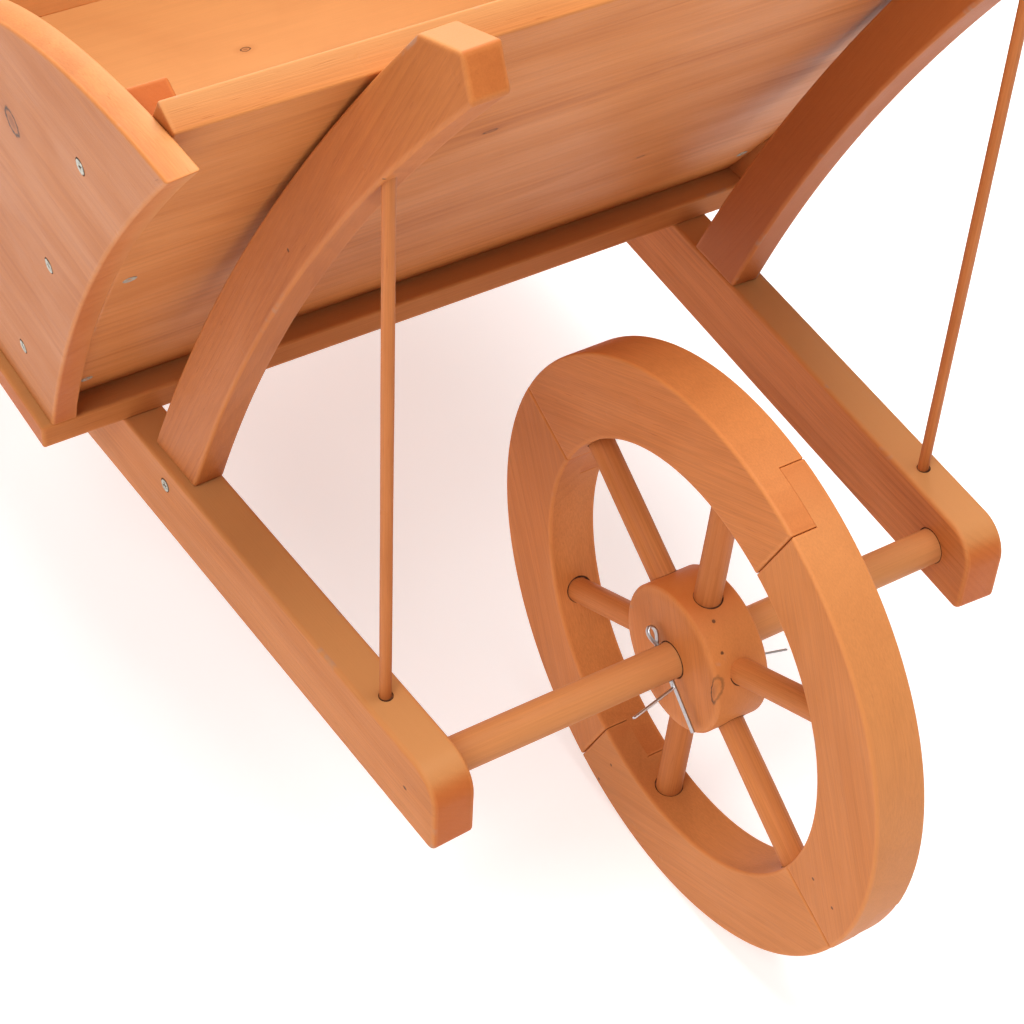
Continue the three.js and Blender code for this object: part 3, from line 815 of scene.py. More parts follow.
@dataclass(frozen=True)
class Mark:
    """A knot or a sunk nail in the wood, in the barrow's frame in millimetres.

    Attributes:
        centre: its middle.
        radius: its radius where the stretch is 1.
        stretch: how many times narrower it is along each axis.
    """

    centre: tuple[float, float, float]
    radius: float = 1.0
    stretch: tuple[float, float, float] = (1.0, 1.0, 1.0)

    def drawn(self, graph: Graph, effect: bpy.types.NodeTree, position: Socket) -> bpy.types.Node:
        """The effect placed in a material with this mark's values."""
        values = {"Centre": row_point(self.centre), "Stretch": self.stretch, "Radius": self.radius * MM}
        return graph.group(effect, Position=position, **values)


@dataclass(frozen=True)
class StainedFir:
    """Fir under a thin orange-brown stain.

    Attributes:
        name: the material's name.
        light: colour of the early wood.
        dark: colour of the late wood and of the pores.
        ring: width of a growth ring in millimetres.
        contrast: strength of the rings.
        wander: how far the rings stray, in millimetres.
        streaks: strength of the streaks along the fibres.
        roughness: mean roughness.
        wear_and_highlight: strength of the worn arrises and of the painted highlight along them.
        end_tone: how much deeper the stain sank into end grain.
        knots: knots to draw.
        nails: nail marks to draw.
    """

    name: str
    light: tuple[float, float, float] = (0.56, 0.186, 0.046)
    dark: tuple[float, float, float] = (0.29, 0.066, 0.012)
    ring: float = 5.0
    contrast: float = 0.42
    wander: float = 6.0
    streaks: float = 0.22
    roughness: float = 0.52
    wear_and_highlight: float = 1.0
    end_tone: float = 0.75
    knots: tuple[Mark, ...] = ()
    nails: tuple[Mark, ...] = ()

    def _lit(self, *factors: float) -> tuple[float, float, float, float]:
        """The early wood's colour with each of its parts multiplied."""
        return (*(min(1.0, part * factor) for part, factor in zip(self.light, factors)), 1.0)

    def _knots(self, graph: Graph, effects: Effects, position: Socket) -> dict[str, Socket]:
        """The strongest of each knot mask, and the sum of the swirls."""
        joins = {"Heart": "MAXIMUM", "Rim": "MAXIMUM", "Halo": "MAXIMUM", "Swirl": "ADD"}
        total: dict[str, Socket] = {}
        for knot in self.knots:
            made = knot.drawn(graph, effects.knot, position)
            for key, join in joins.items():
                out = made.outputs[key]
                total[key] = graph.math(join, total[key], out) if key in total else out
        return total

    def _nails(self, graph: Graph, effects: Effects, position: Socket) -> Optional[Socket]:
        """The strongest of the nail marks, or None."""
        mask: Optional[Socket] = None
        for nail in self.nails:
            out = nail.drawn(graph, effects.pit, position).outputs[0]
            mask = out if mask is None else graph.math("MAXIMUM", mask, out)
        return mask

    def build(self, effects: Effects) -> bpy.types.Material:
        """Makes the material.

        Args:
            effects: the shared effects.

        Returns:
            The finished material.
        """
        material, graph, shader, position = new_material(self.name)
        grain, tone = graph.attribute("grain", "Vector"), graph.attribute("tone")
        knots = self._knots(graph, effects, position)
        values = {"Width": self.ring * MM, "Wander": self.wander * MM, "Swirl": knots.get("Swirl")}
        rings = graph.group(effects.rings, Grain=grain, **values).outputs["Late"]
        fibres = graph.group(effects.fibres, Grain=grain).outputs
        edge = graph.attribute("edge")
        wear_and_highlight = graph.group(effects.wear_and_highlight, Edge=edge, Position=position, Amount=self.wear_and_highlight).outputs
        marks = graph.group(effects.marks, Position=position).outputs
        end = graph.remap(graph.attribute("end"), 0.6, 0.95)
        nails = self._nails(graph, effects, position)
        dark, pale = (*self.dark, 1.0), self._lit(1.18, 1.3, 1.45)
        fibre = graph.plus_times(0.92, fibres["Fibre"], 0.16)

        layers: list[tuple[object, object, str]] = [
            (graph.times(rings, graph.plus_times(self.contrast, end, 0.35)), dark, "MIX"),
            (graph.times(fibres["Streak"], self.streaks), dark, "MIX"),
            (graph.times(fibres["Blotch"], 0.42), pale, "MIX"),
            (1.0, graph.combine(fibre, fibre, fibre), "MULTIPLY"),
            (graph.times(fibres["Pores"], 0.35), dark, "MIX"),
            # The tone lightens or darkens the wood. Besides each board's own tone it carries painted light:
            # lighter tops, tread and inner faces, and painted shade on the braces and the floor's edges.
            (graph.times(tone, -0.7, clamp=True), self._lit(0.72, 0.58, 0.48), "MIX"),
            (graph.times(tone, 0.7, clamp=True), self._lit(1.06, 1.45, 2.0), "MIX"),
            (graph.times(end, self.end_tone), self._lit(0.86, 0.58, 0.32), "MIX"),
            (graph.times(marks["Dirt"], 0.12), dark, "MIX"),
        ]
        if knots:
            layers += [
                (graph.times(knots["Halo"], 0.2), dark, "MIX"),
                (graph.times(knots["Heart"], 0.6), KNOT_HEART, "MIX"),
                (graph.times(knots["Rim"], 0.95), KNOT_RIM, "MIX"),
            ]
        layers += [
            # Paler along the arrises: partly wear, partly a painted highlight.
            (graph.times(wear_and_highlight["Rub"], 0.3), pale, "MIX"),
            (graph.times(wear_and_highlight["Scuff"], 0.5), SCUFF_GREY, "MIX"),
        ]
        height = graph.times(rings, 0.35)
        height = graph.plus_times(height, fibres["Fibre"], 0.35)
        height = graph.plus_times(height, fibres["Pores"], -0.7)
        height = graph.plus_times(height, marks["Dents"], -0.9)
        if nails is not None:
            layers.append((graph.times(nails, 0.8), NAIL_HOLE, "MIX"))
            height = graph.plus_times(height, nails, -3.0)
        colour: object = (*self.light, 1.0)
        for share, coat, mode in layers:
            colour = graph.blend(share, colour, coat, mode)
        rough = graph.plus_times(self.roughness + 0.05, fibres["Blotch"], -0.1)
        graph.feed(shader.inputs["Base Color"], colour)
        graph.feed(shader.inputs["Roughness"], graph.plus_times(rough, wear_and_highlight["Scuff"], 0.2, clamp=True))
        graph.feed(shader.inputs["Normal"], graph.bump(height, 0.35, 0.0003))
        shader.inputs["Specular IOR Level"].default_value = 0.14
        return material


@dataclass(frozen=True)
class Metal:
    """Plain or plated metal with fine drawing lines and dull patches.

    Attributes:
        name: the material's name.
        colour: colour of the bright metal.
        dull: colour of the dull patches.
        roughness: mean roughness.
        tarnish: share of the dull patches.
    """

    name: str
    colour: tuple[float, float, float]
    dull: tuple[float, float, float]
    roughness: float = 0.3
    tarnish: float = 0.3

    def build(self, effects: Effects) -> bpy.types.Material:
        """Makes the material.

        Args:
            effects: the shared effects.

        Returns:
            The finished material.
        """
        material, graph, shader, position = new_material(self.name)
        patches, lines = graph.group(effects.drawn, Position=position).outputs
        share = graph.times(patches, self.tarnish)
        colour = graph.blend(share, (*self.colour, 1), (*self.dull, 1))
        rough = graph.plus_times(self.roughness, patches, 0.25 * self.tarnish)
        graph.feed(shader.inputs["Base Color"], colour)
        graph.feed(shader.inputs["Roughness"], graph.plus_times(rough, lines, 0.12, clamp=True))
        graph.feed(shader.inputs["Normal"], graph.bump(graph.math("ADD", lines, patches), 0.2, 0.0001))
        shader.inputs["Metallic"].default_value = 1.0
        return material


@dataclass(frozen=True)
class GapShadow:
    """Painted shadow: a dark ring that stands for the shade in the gap round a peg or a screw, with paler
    patches in it.

    Attributes:
        name: the material's name.
        colour: colour of the painted shadow.
        paler_patch: colour of the paler patches in it.
    """

    name: str = "gap_shadow"
    colour: tuple[float, float, float] = (0.045, 0.016, 0.007)
    paler_patch: tuple[float, float, float] = (0.2025, 0.072, 0.0315)

    def build(self) -> bpy.types.Material:
        """Makes the material."""
        material, graph, shader, position = new_material(self.name)
        # Painted shadow, paler in patches.
        patchy = graph.remap(graph.noise(position, 380.0, 3.0), 0.4, 0.75)
        graph.feed(shader.inputs["Base Color"], graph.blend(patchy, (*self.colour, 1), (*self.paler_patch, 1)))
        graph.feed(shader.inputs["Roughness"], graph.plus_times(0.85, patchy, 0.1))
        shader.inputs["Specular IOR Level"].default_value = 0.1
        return material


@dataclass
class Finishes:
    """The materials that the sub-assemblies share."""

    boards: bpy.types.Material
    battens: bpy.types.Material
    dowels: bpy.types.Material
    wheel: bpy.types.Material
    steel: bpy.types.Material
    zinc: bpy.types.Material
    gap: bpy.types.Material

    @classmethod
    def mixed(cls) -> "Finishes":
        """Mixes every finish."""
        effects = Effects()
        board_knots = (
            Mark((-58.9, 120.2, 417.7), 3.4, (1.0, 1.9, 1.9)),
            Mark((18.0, 527.0, 200.0), 3.2, (1.0, 1.5, 1.5)),
            Mark((96.0, 214.0, 292.0), 2.6, (1.0, 1.8, 1.8)),
            Mark((131.0, 655.0, 262.0), 4.5, (1.0, 1.6, 1.6)),
            Mark((-252.2, 194.8, 440.3), 6.5, (1.6, 1.0, 1.0)),
            Mark((246.0, 420.0, 310.0), 5.0, (1.6, 1.0, 1.6)),
            Mark((-90.0, 420.0, 200.0), 4.0, (1.0, 1.6, 1.6)),
        )
        batten_marks = (
            Mark((-171.7, -6.5, 161.3), 1.1, (0.5, 0.7, 1.0)),
            Mark((-172.2, 97.6, 408.5), 1.0, (0.5, 1.0, 1.0)),
            Mark((-168.0, 24.0, 491.0), 1.0, (0.5, 1.0, 1.0)),
            Mark((-175.8, 161.6, 265.3), 1.0, (0.5, 1.8, 0.6)),
        )
        wheel_marks = (
            Mark((-14.0, 41.2, 34.7)),
            Mark((-14.0, 50.6, 12.9)),
            Mark((-14.0, -123.9, 122.7)),
            Mark((-14.0, -139.9, 118.5)),
            Mark((-5.1, -15.4, 196.9), 1.1),
            Mark((-8.2, -28.4, 188.2)),
        )
        boards = StainedFir(
            "stained_boards", (0.53, 0.182, 0.047), ring=10.0, contrast=0.4, wander=10.0,
            streaks=0.2, knots=board_knots,
        )
        battens = StainedFir(
            "stained_battens", (0.52, 0.166, 0.041), (0.24, 0.053, 0.010), ring=3.4, contrast=0.5,
            nails=batten_marks,
        )
        dowels = StainedFir(
            "stained_dowels", (0.54, 0.178, 0.048), (0.28, 0.068, 0.014), ring=2.6, wander=2.0
        )
        wheel = StainedFir(
            "stained_wheel_wood", (0.53, 0.168, 0.042), (0.30, 0.072, 0.013), ring=7.0, contrast=0.24,
            wander=9.0, streaks=0.12, wear_and_highlight=1.5, nails=wheel_marks,
            knots=(Mark((-15.0, -35.6, 172.0), 4.0, (1.0, 1.5, 0.45)),),
        )
        steel = Metal("pin_steel", (0.50, 0.50, 0.51), (0.26, 0.25, 0.24), 0.26, 0.3)
        zinc = Metal("screw_zinc", (0.44, 0.43, 0.37), (0.12, 0.09, 0.06), 0.42, 0.75)
        made = [finish.build(effects) for finish in (boards, battens, dowels, wheel, steel, zinc)]
        return cls(*made, GapShadow().build())


# ------------------------------------------------------------------ shared fittings


@dataclass(frozen=True)
class RailAxes:
    """The slanted axes beside a rail: x back along it, y up, and z out from its inner face.

    Attributes:
        inner_x: half the distance between the rails at the wheel's axle.
        splay: angle by which each rail turns outwards.
        thick: thickness of a rail.
    """

    inner_x: float = 149.0
    splay: float = math.atan(0.0576)
    thick: float = 23.0

    def placement(self, side: Side, out: float = 0.0, flipped: bool = False) -> Placement:
        """The axes on one side, moved out from the rail's inner face, or with z pointing in."""
        s, sin, cos = side.value, math.sin(self.splay), math.cos(self.splay)
        turn = -1 if flipped else 1
        origin = (s * (self.inner_x + cos * out), -sin * out, 0.0)
        return Placement(origin, (s * sin, cos, 0.0), (0.0, 0.0, 1.0), (turn * s * cos, -turn * sin, 0.0))

    def point(self, side: Side, out: float, back: float, up: float) -> tuple[float, float, float]:
        """A point beside the rail, in the barrow's frame."""
        return tuple(self.placement(side).place(np.array([back, up, out], float)))


def gap_ring(
    centre: Sequence[float], axis: Sequence[float], peg: float, width: float,
    surface: float = 0.0, concave: bool = False, offset: float = 0.0,
) -> Shell:
    """Painted shadow: the shade in the gap round a peg, as a thin dark ring that lies on the surface that
    the peg enters.

    A cylindrical surface's axis is the barrow's x axis, as the wheel's and the axle's are.

    Args:
        centre: where the peg's axis meets the flat surface, or the cylinder's axis.
        axis: direction out of the surface.
        peg: the peg's radius.
        width: the gap's width.
        surface: radius of the cylindrical surface, or 0 for a flat one.
        concave: the surface is the inside of the cylinder.
        offset: how far the gap is wider on one side.

    Returns:
        The placed ring, in material slot 1.
    """
    z = unit(axis)
    across = np.array([1.0, 0.0, 0.0])
    along_x = abs(across @ z) > 0.99
    x = unit(np.cross(z, (0.3, 0.5, 0.9))) if along_x else unit(across - (across @ z) * z)
    y = np.cross(z, x)
    origin = np.asarray(centre, float) + offset * (0.6 * x - 0.8 * y)
    ring = ribbon_round(max(peg - GAP_TUCK, 0.0), peg + width, surface, concave)
    return ring.in_slot(1).placed(Placement(tuple(origin), tuple(x), tuple(y), tuple(z)))


@dataclass(frozen=True)
class Screw:
    """A countersunk screw with a cross recess, in place of a plain one in the frame.

    Attributes:
        node: the frame's node.
        head: radius of the head.
        proud: how far its face stands above the wood.
        recess: depth of the cross.
    """

    node: str
    head: float = 3.5
    proud: float = 0.35
    recess: float = 0.3

    def _axis(self) -> tuple[Array, Array]:
        """The head's centre and the way out of it, in the barrow's frame.

        The screw's axis is the direction in which the node's vertices spread most, and the
        head's end is the one whose vertices lie further from it.
        """
        points = np.array([v.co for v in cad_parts[self.node].data.vertices], float)
        points = (points - row_point((0, 0, 0))) / MM
        middle = points.mean(0)
        axis = np.linalg.svd(points - middle)[2][0]
        along = (points - middle) @ axis
        away = np.linalg.norm(points - middle - along[:, None] * axis, axis=1)
        middle_along = (along.min() + along.max()) / 2
        axis = axis if away[along > middle_along].max() > away[along < middle_along].max() else -axis
        along = (points - middle) @ axis
        ends = points[along > along.max() - 0.05]
        return (ends.min(0) + ends.max(0)) / 2, axis

    def _face(self, turn: float) -> Shell:
        """The screw: a lathe whose head dips in a cross.

        Over the head, the depth at (x, y) is the recess times a soft step of whichever of |x|
        and |y| is smaller, times a soft step of the distance from the centre.
        """
        # (radius, height) up the shank and the cone to the rim of the head, then in to its middle
        rows = [(0.05, -9.0), (1.5, -8.0), (1.7, -2.6), (self.head, -0.25), (self.head - 0.1, 0.0)]
        rows += [(self.head * share, 0.0) for share in np.linspace(0.93, 0.04, 15)]
        shell = turned(np.array(rows), 48)
        x, y, z = shell.points.T
        cos, sin = math.cos(turn), math.sin(turn)
        arm = np.minimum(np.abs(x * cos + y * sin), np.abs(y * cos - x * sin))
        inside = np.clip((0.62 - arm) / 0.3, 0, 1)
        inside *= np.clip((0.68 * self.head - np.hypot(x, y)) / 0.7, 0, 1)
        shell.points[:, 2] = z - self.recess * inside * (z > -0.01)
        # Painted shade: the faces deep in the cross go into slot 1, the dark gap shadow material.
        shell.slots = [int(len(face) == 4 and min(inside[face]) > 0.45) for face in shell.faces]
        return shell

    def build(self, finishes: Finishes, index: int) -> None:
        """Makes the screw.

        Args:
            finishes: the shared materials.
            index: turns its cross and shifts its gap.
        """
        centre, axis = self._axis()
        side = unit(np.cross(axis, (0.21, 0.35, 0.91)))
        placement = Placement(
            tuple(centre + (self.proud - 0.1) * axis), tuple(side), tuple(np.cross(axis, side)), tuple(axis)
        )
        screw = self._face(0.7 * index).placed(placement)
        # Painted shadow ring round the head.
        gap = gap_ring(centre - 0.1 * axis, axis, self.head + 0.2, 0.45, offset=0.12)
        add_piece(self.node, [screw, gap], [finishes.zinc, finishes.gap])


# ------------------------------------------------------------------ wheel


@dataclass
class Wheel:
    """The spoked wheel: a hub, six turned spokes and a rim of four lapped felloes.

    Attributes:
        radius: outer radius of the rim.
        inner: inner radius of the rim.
        rim_width: width of the rim.
        hub_radius: radius of the hub.
        hub_width: width of the hub.
        chamfer: chamfer of the hub's edges.
        bore: radius of the hub's bore.
        spokes: number of spokes.
        spoke_radius: radius of a spoke.
        spoke_phase: angle of the first spoke, in degrees from the back towards the top.
        felloes: number of felloes.
        felloe_phase: angle of the left half's first joint.
        lap: how far the right half's joints lie behind the left half's, in degrees.
        sunk: depth of the spokes' ends in the hub and in the rim.
        steps: how far each felloe's tread stands out.
        tones: how light each felloe is.
        tread_painted_light: painted light, how much lighter the tread is than the faces.
    """

    radius: float = AXLE_HEIGHT
    inner: float = 115.5
    rim_width: float = 28.0
    hub_radius: float = 40.0
    hub_width: float = 31.0
    chamfer: float = 1.5
    bore: float = 9.58
    spokes: int = 6
    spoke_radius: float = 7.0
    spoke_phase: float = 33.6
    felloes: int = 4
    felloe_phase: float = 25.4
    lap: float = 11.5
    sunk: float = 14.0
    steps: tuple[float, ...] = (-0.1, 0.15, -0.25, 0.05)
    tones: tuple[float, ...] = (0.0, 0.2, 0.35, -0.1)
    tread_painted_light: float = 0.35

    def _outwards(self, degrees: float) -> tuple[float, float, float]:
        """The direction out from the axle at an angle."""
        return (0.0, math.cos(math.radians(degrees)), math.sin(math.radians(degrees)))

    def _angles(self) -> list[float]:
        """The spokes' angles in degrees."""
        return [self.spoke_phase + 360.0 / self.spokes * k for k in range(self.spokes)]

    def _hub(self, finishes: Finishes) -> None:
        """A turned disc with chamfered rims and its bore, with painted shadow rings round the spokes and
        round the bore's mouths.
        """
        half, edge, r, count = self.hub_width / 2, self.chamfer, self.hub_radius, 96
        soft, bore_round, flat = 0.35, 0.8, 6.0
        rise = np.array([
            (self.bore, bore_round - half), (self.bore + bore_round, -half), (r - edge - flat, -half),
            (r - edge - soft, -half), (r - edge + soft, soft - half), (r - soft, edge - soft - half),
            (r, edge + soft - half),
        ])
        profile = np.concatenate([rise, [(r, 0.0)], (rise * [1, -1])[::-1]])
        hub = turned(profile, count, wrap=True, wobble=0.07, seed=3)
        hub.edge = (np.abs(np.repeat(profile[:, 0], count) - r + edge / 2) < 1.3).astype(float)
        grain = Grain((0.35, 1.0, 0.0), (0.0, 0.1, 1.0), 3, 40.0, 10.0, -0.15)
        centre = (0, 0, self.radius)
        axle = Placement(centre, (0, 1, 0), (0, 0, 1), (1, 0, 0))
        shells = [hub.with_grain(grain).placed(axle)]
        for angle in self._angles():
            out = self._outwards(angle)
            shells.append(gap_ring(centre, out, self.spoke_radius, 0.55, r, offset=0.3))
        for side in Side:
            face = (side.value * half, 0, self.radius)
            shells.append(gap_ring(face, (side.value, 0, 0), self.bore, 0.5, offset=0.1))
        add_piece("hub", shells, [finishes.wheel, finishes.gap], Body.WHEEL)

    def _spokes(self, finishes: Finishes) -> None:
        """The turned spokes, sunk into the hub and the rim."""
        start = self.hub_radius - self.sunk
        length = self.inner + self.sunk - start
        for number, angle in enumerate(self._angles(), 1):
            out = np.array(self._outwards(angle))
            tone = -0.3 + 0.2 * math.sin(2.1 * number)
            grain = Grain((0, 0, 1), (1, 0.2, 0), 10 + number, 26.0, 5.0 * number, tone)
            bar = dowel(self.spoke_radius, length, 0.6, 40, 0.08, number).with_grain(grain)
            foot, x = tuple(out * start + [0, 0, self.radius]), (1, 0, 0)
            place = Placement(foot, x, tuple(np.cross(out, x)), tuple(out))
            add_piece(f"spoke_{number}", [bar.placed(place)], [finishes.dowels], Body.WHEEL)

    def _layer(self, start: float, near: float, far: float, ease: tuple[float, float], step: float) -> Shell:
        """Half the thickness of a felloe.

        Args:
            start: angle of its first joint.
            near: x of its left face.
            far: x of its right face.
            ease: radii of the rounds on those faces.
            step: how far its tread stands out.

        Returns:
            A sector of the rim, in the wheel's own axes.
        """
        slack = 0.5 * math.degrees(0.3 / self.inner)
        angles = np.radians(np.linspace(start + slack, start + 360 / self.felloes - slack, 40))
        ray = np.column_stack([np.cos(angles), np.sin(angles)])
        outline = np.concatenate([ray * (self.radius + step), ray[::-1] * self.inner])
        shell = board(outline, far - near, ease, 0.45)
        shell.points[:, 2] += near
        return shell

    def _felloe(self, k: int, first: float) -> list[Shell]:
        """One felloe and the painted shadow rings round its spokes.

        Args:
            k: its number, from 0.
            first: angle of the left half's first joint.

        Returns:
            The placed shells.
        """
        half, sector, round_edge = self.rim_width / 2, 360.0 / self.felloes, 1.4
        place = Placement((0, 0, self.radius), (0, 1, 0), (0, 0, 1), (1, 0, 0))
        middle = math.radians(first + sector / 2 - self.lap / 2)
        cos, sin = math.cos(middle), math.sin(middle)
        grain = Grain((-sin, cos, 0.0), (cos, sin, 0.9), 20 + k, 30.0 + 17 * k, 6.0, self.tones[k])
        shells = [
            self._layer(first, -half, 0.0, (round_edge, 0.0), self.steps[k]).with_grain(grain),
            self._layer(first - self.lap, 0.0, half, (0.0, round_edge), self.steps[k]).with_grain(grain),
        ]
        for piece in shells:
            # Painted light: the tread gets a lighter tone all round, as a top lit from above.
            on_tread = np.hypot(piece.points[:, 0], piece.points[:, 1]) > self.radius - 1.0
            piece.tone = piece.tone + self.tread_painted_light * on_tread
            piece.placed(place)
        for angle in self._angles():
            if (angle - first + self.lap) % 360.0 < sector:
                out = self._outwards(angle)
                shells.append(gap_ring(
                    place.origin, out, self.spoke_radius, 0.7, self.inner, concave=True, offset=0.35
                ))
        return shells

    def _rim(self, finishes: Finishes) -> None:
        """The four felloes, each of two halves that lap over its neighbours'."""
        for k in range(self.felloes):
            shells = self._felloe(k, self.felloe_phase + 360.0 / self.felloes * k)
            woods = [finishes.wheel, finishes.gap]
            add_piece(f"felloe_{k + 1}", shells, woods, Body.WHEEL)

    def build(self, finishes: Finishes) -> None:
        """Makes the wheel's pieces."""
        self._hub(finishes)
        self._spokes(finishes)
        self._rim(finishes)


# ------------------------------------------------------------------ axle and pins


@dataclass
class Axle:
    """The round axle between the rails, and the split pins that keep the hub in place.

    Attributes:
        radius: radius of the axle.
        height: its height above the ground.
        reach: half its length.
        pin_x: distance of each pin from the middle.
        tilt: turn of the pins about the axle, in degrees.
        wire: half the thickness of the flattened wire.
        flat_wire: half its width.
        leg: length of the straight leg beyond the axle.
        bent_leg: length of the bent leg.
        bend: angle of the bent leg, in degrees.
    """

    radius: float = AXLE_RADIUS
    height: float = AXLE_HEIGHT
    reach: float = 163.0
    pin_x: float = 19.8
    tilt: float = 50.0
    wire: float = 1.15
    flat_wire: float = 1.7
    leg: float = 27.0
    bent_leg: float = 27.0
    bend: float = 78.0

    def _pin_axes(self, side: Side) -> Placement:
        """A pin's own axes: x towards the wheel, y across the pin and z towards its eye."""
        sin, cos = math.sin(math.radians(self.tilt)), math.cos(math.radians(self.tilt))
        origin = (side.value * self.pin_x, 0, self.height)
        return Placement(origin, (-side.value, 0, 0), (0, cos, -sin), (0, sin, cos))

    def _bar(self, finishes: Finishes) -> None:
        """The axle with painted shadow rings at the mouths of the pins' holes."""
        bar = dowel(self.radius, 2 * self.reach, 0.5, 72, 0.06, 5)
        bar = bar.with_grain(Grain((0, 0, 1), (1, 0.4, 0), 31, 34.0, 8.0, 0.75))
        shells = [bar.placed(Placement((-self.reach, 0, self.height), (0, 1, 0), (0, 0, 1), (1, 0, 0)))]
        for side in Side:
            pin = self._pin_axes(side)
            for way in (-1, 1):
                shells.append(gap_ring(pin.origin, way * np.array(pin.z), 0.4, 1.6, self.radius))
        add_piece("axle", shells, [finishes.dowels, finishes.gap])

    def _pin(self, side: Side) -> Shell:
        """A half-round wire folded into an eye.

        The path goes up one leg, round a cubic curve for the eye, and down the other leg to
        its bend. The section is half of an ellipse whose flat side faces the other leg: at angle
        a it lies t sin a out from the path and w cos a along y, for half thickness t and width w.
        """
        exit_z, flat = self.radius + 1.0, 0.08
        rise = np.linspace(-exit_z - self.leg, exit_z, 24)
        up = np.column_stack([np.full(24, flat), rise])
        wide, tall = 6.6, exit_z + 11.5
        loop = bezier((flat, exit_z), (wide, tall), (-wide, tall), (-flat, exit_z), 36)[1:-1]
        down = np.column_stack([np.full(12, -flat), np.linspace(exit_z, -exit_z, 12)])
        sin, cos = math.sin(math.radians(self.bend)), math.cos(math.radians(self.bend))
        knee = np.array([-flat, -exit_z - 3.0])
        turn = bezier((-flat, -exit_z), knee, knee, knee + [-3.5 * sin, -3.5 * cos], 10)[1:]
        tail = knee + np.linspace(4.5, self.bent_leg, 10)[:, None] * [-sin, -cos]
        path = np.concatenate([up, loop, down, turn, tail])
        tangent = np.gradient(path, axis=0)
        tangent /= np.linalg.norm(tangent, axis=1)[:, None]
        out = np.column_stack([tangent[:, 1], -tangent[:, 0]])
        angle = np.concatenate([np.linspace(0, math.pi, 11), [math.pi * 1.04, -math.pi * 0.04]])
        rise, across = self.wire * np.sin(angle), self.flat_wire * np.cos(angle)
        plane = path[:, None, :] + out[:, None, :] * rise[None, :, None]
        rings = np.stack([plane[..., 0], np.broadcast_to(across, plane.shape[:2]), plane[..., 1]], axis=-1)
        shell = skin(rings, np.zeros(rings.shape[:2]))
        return shell.placed(self._pin_axes(side))

    def build(self, finishes: Finishes) -> None:
        """Makes the axle and its pins."""
        self._bar(finishes)
        for side in Side:
            add_piece(f"split_pin_{side.word}", [self._pin(side)], [finishes.steel])


# ------------------------------------------------------------------ rails, braces and legs


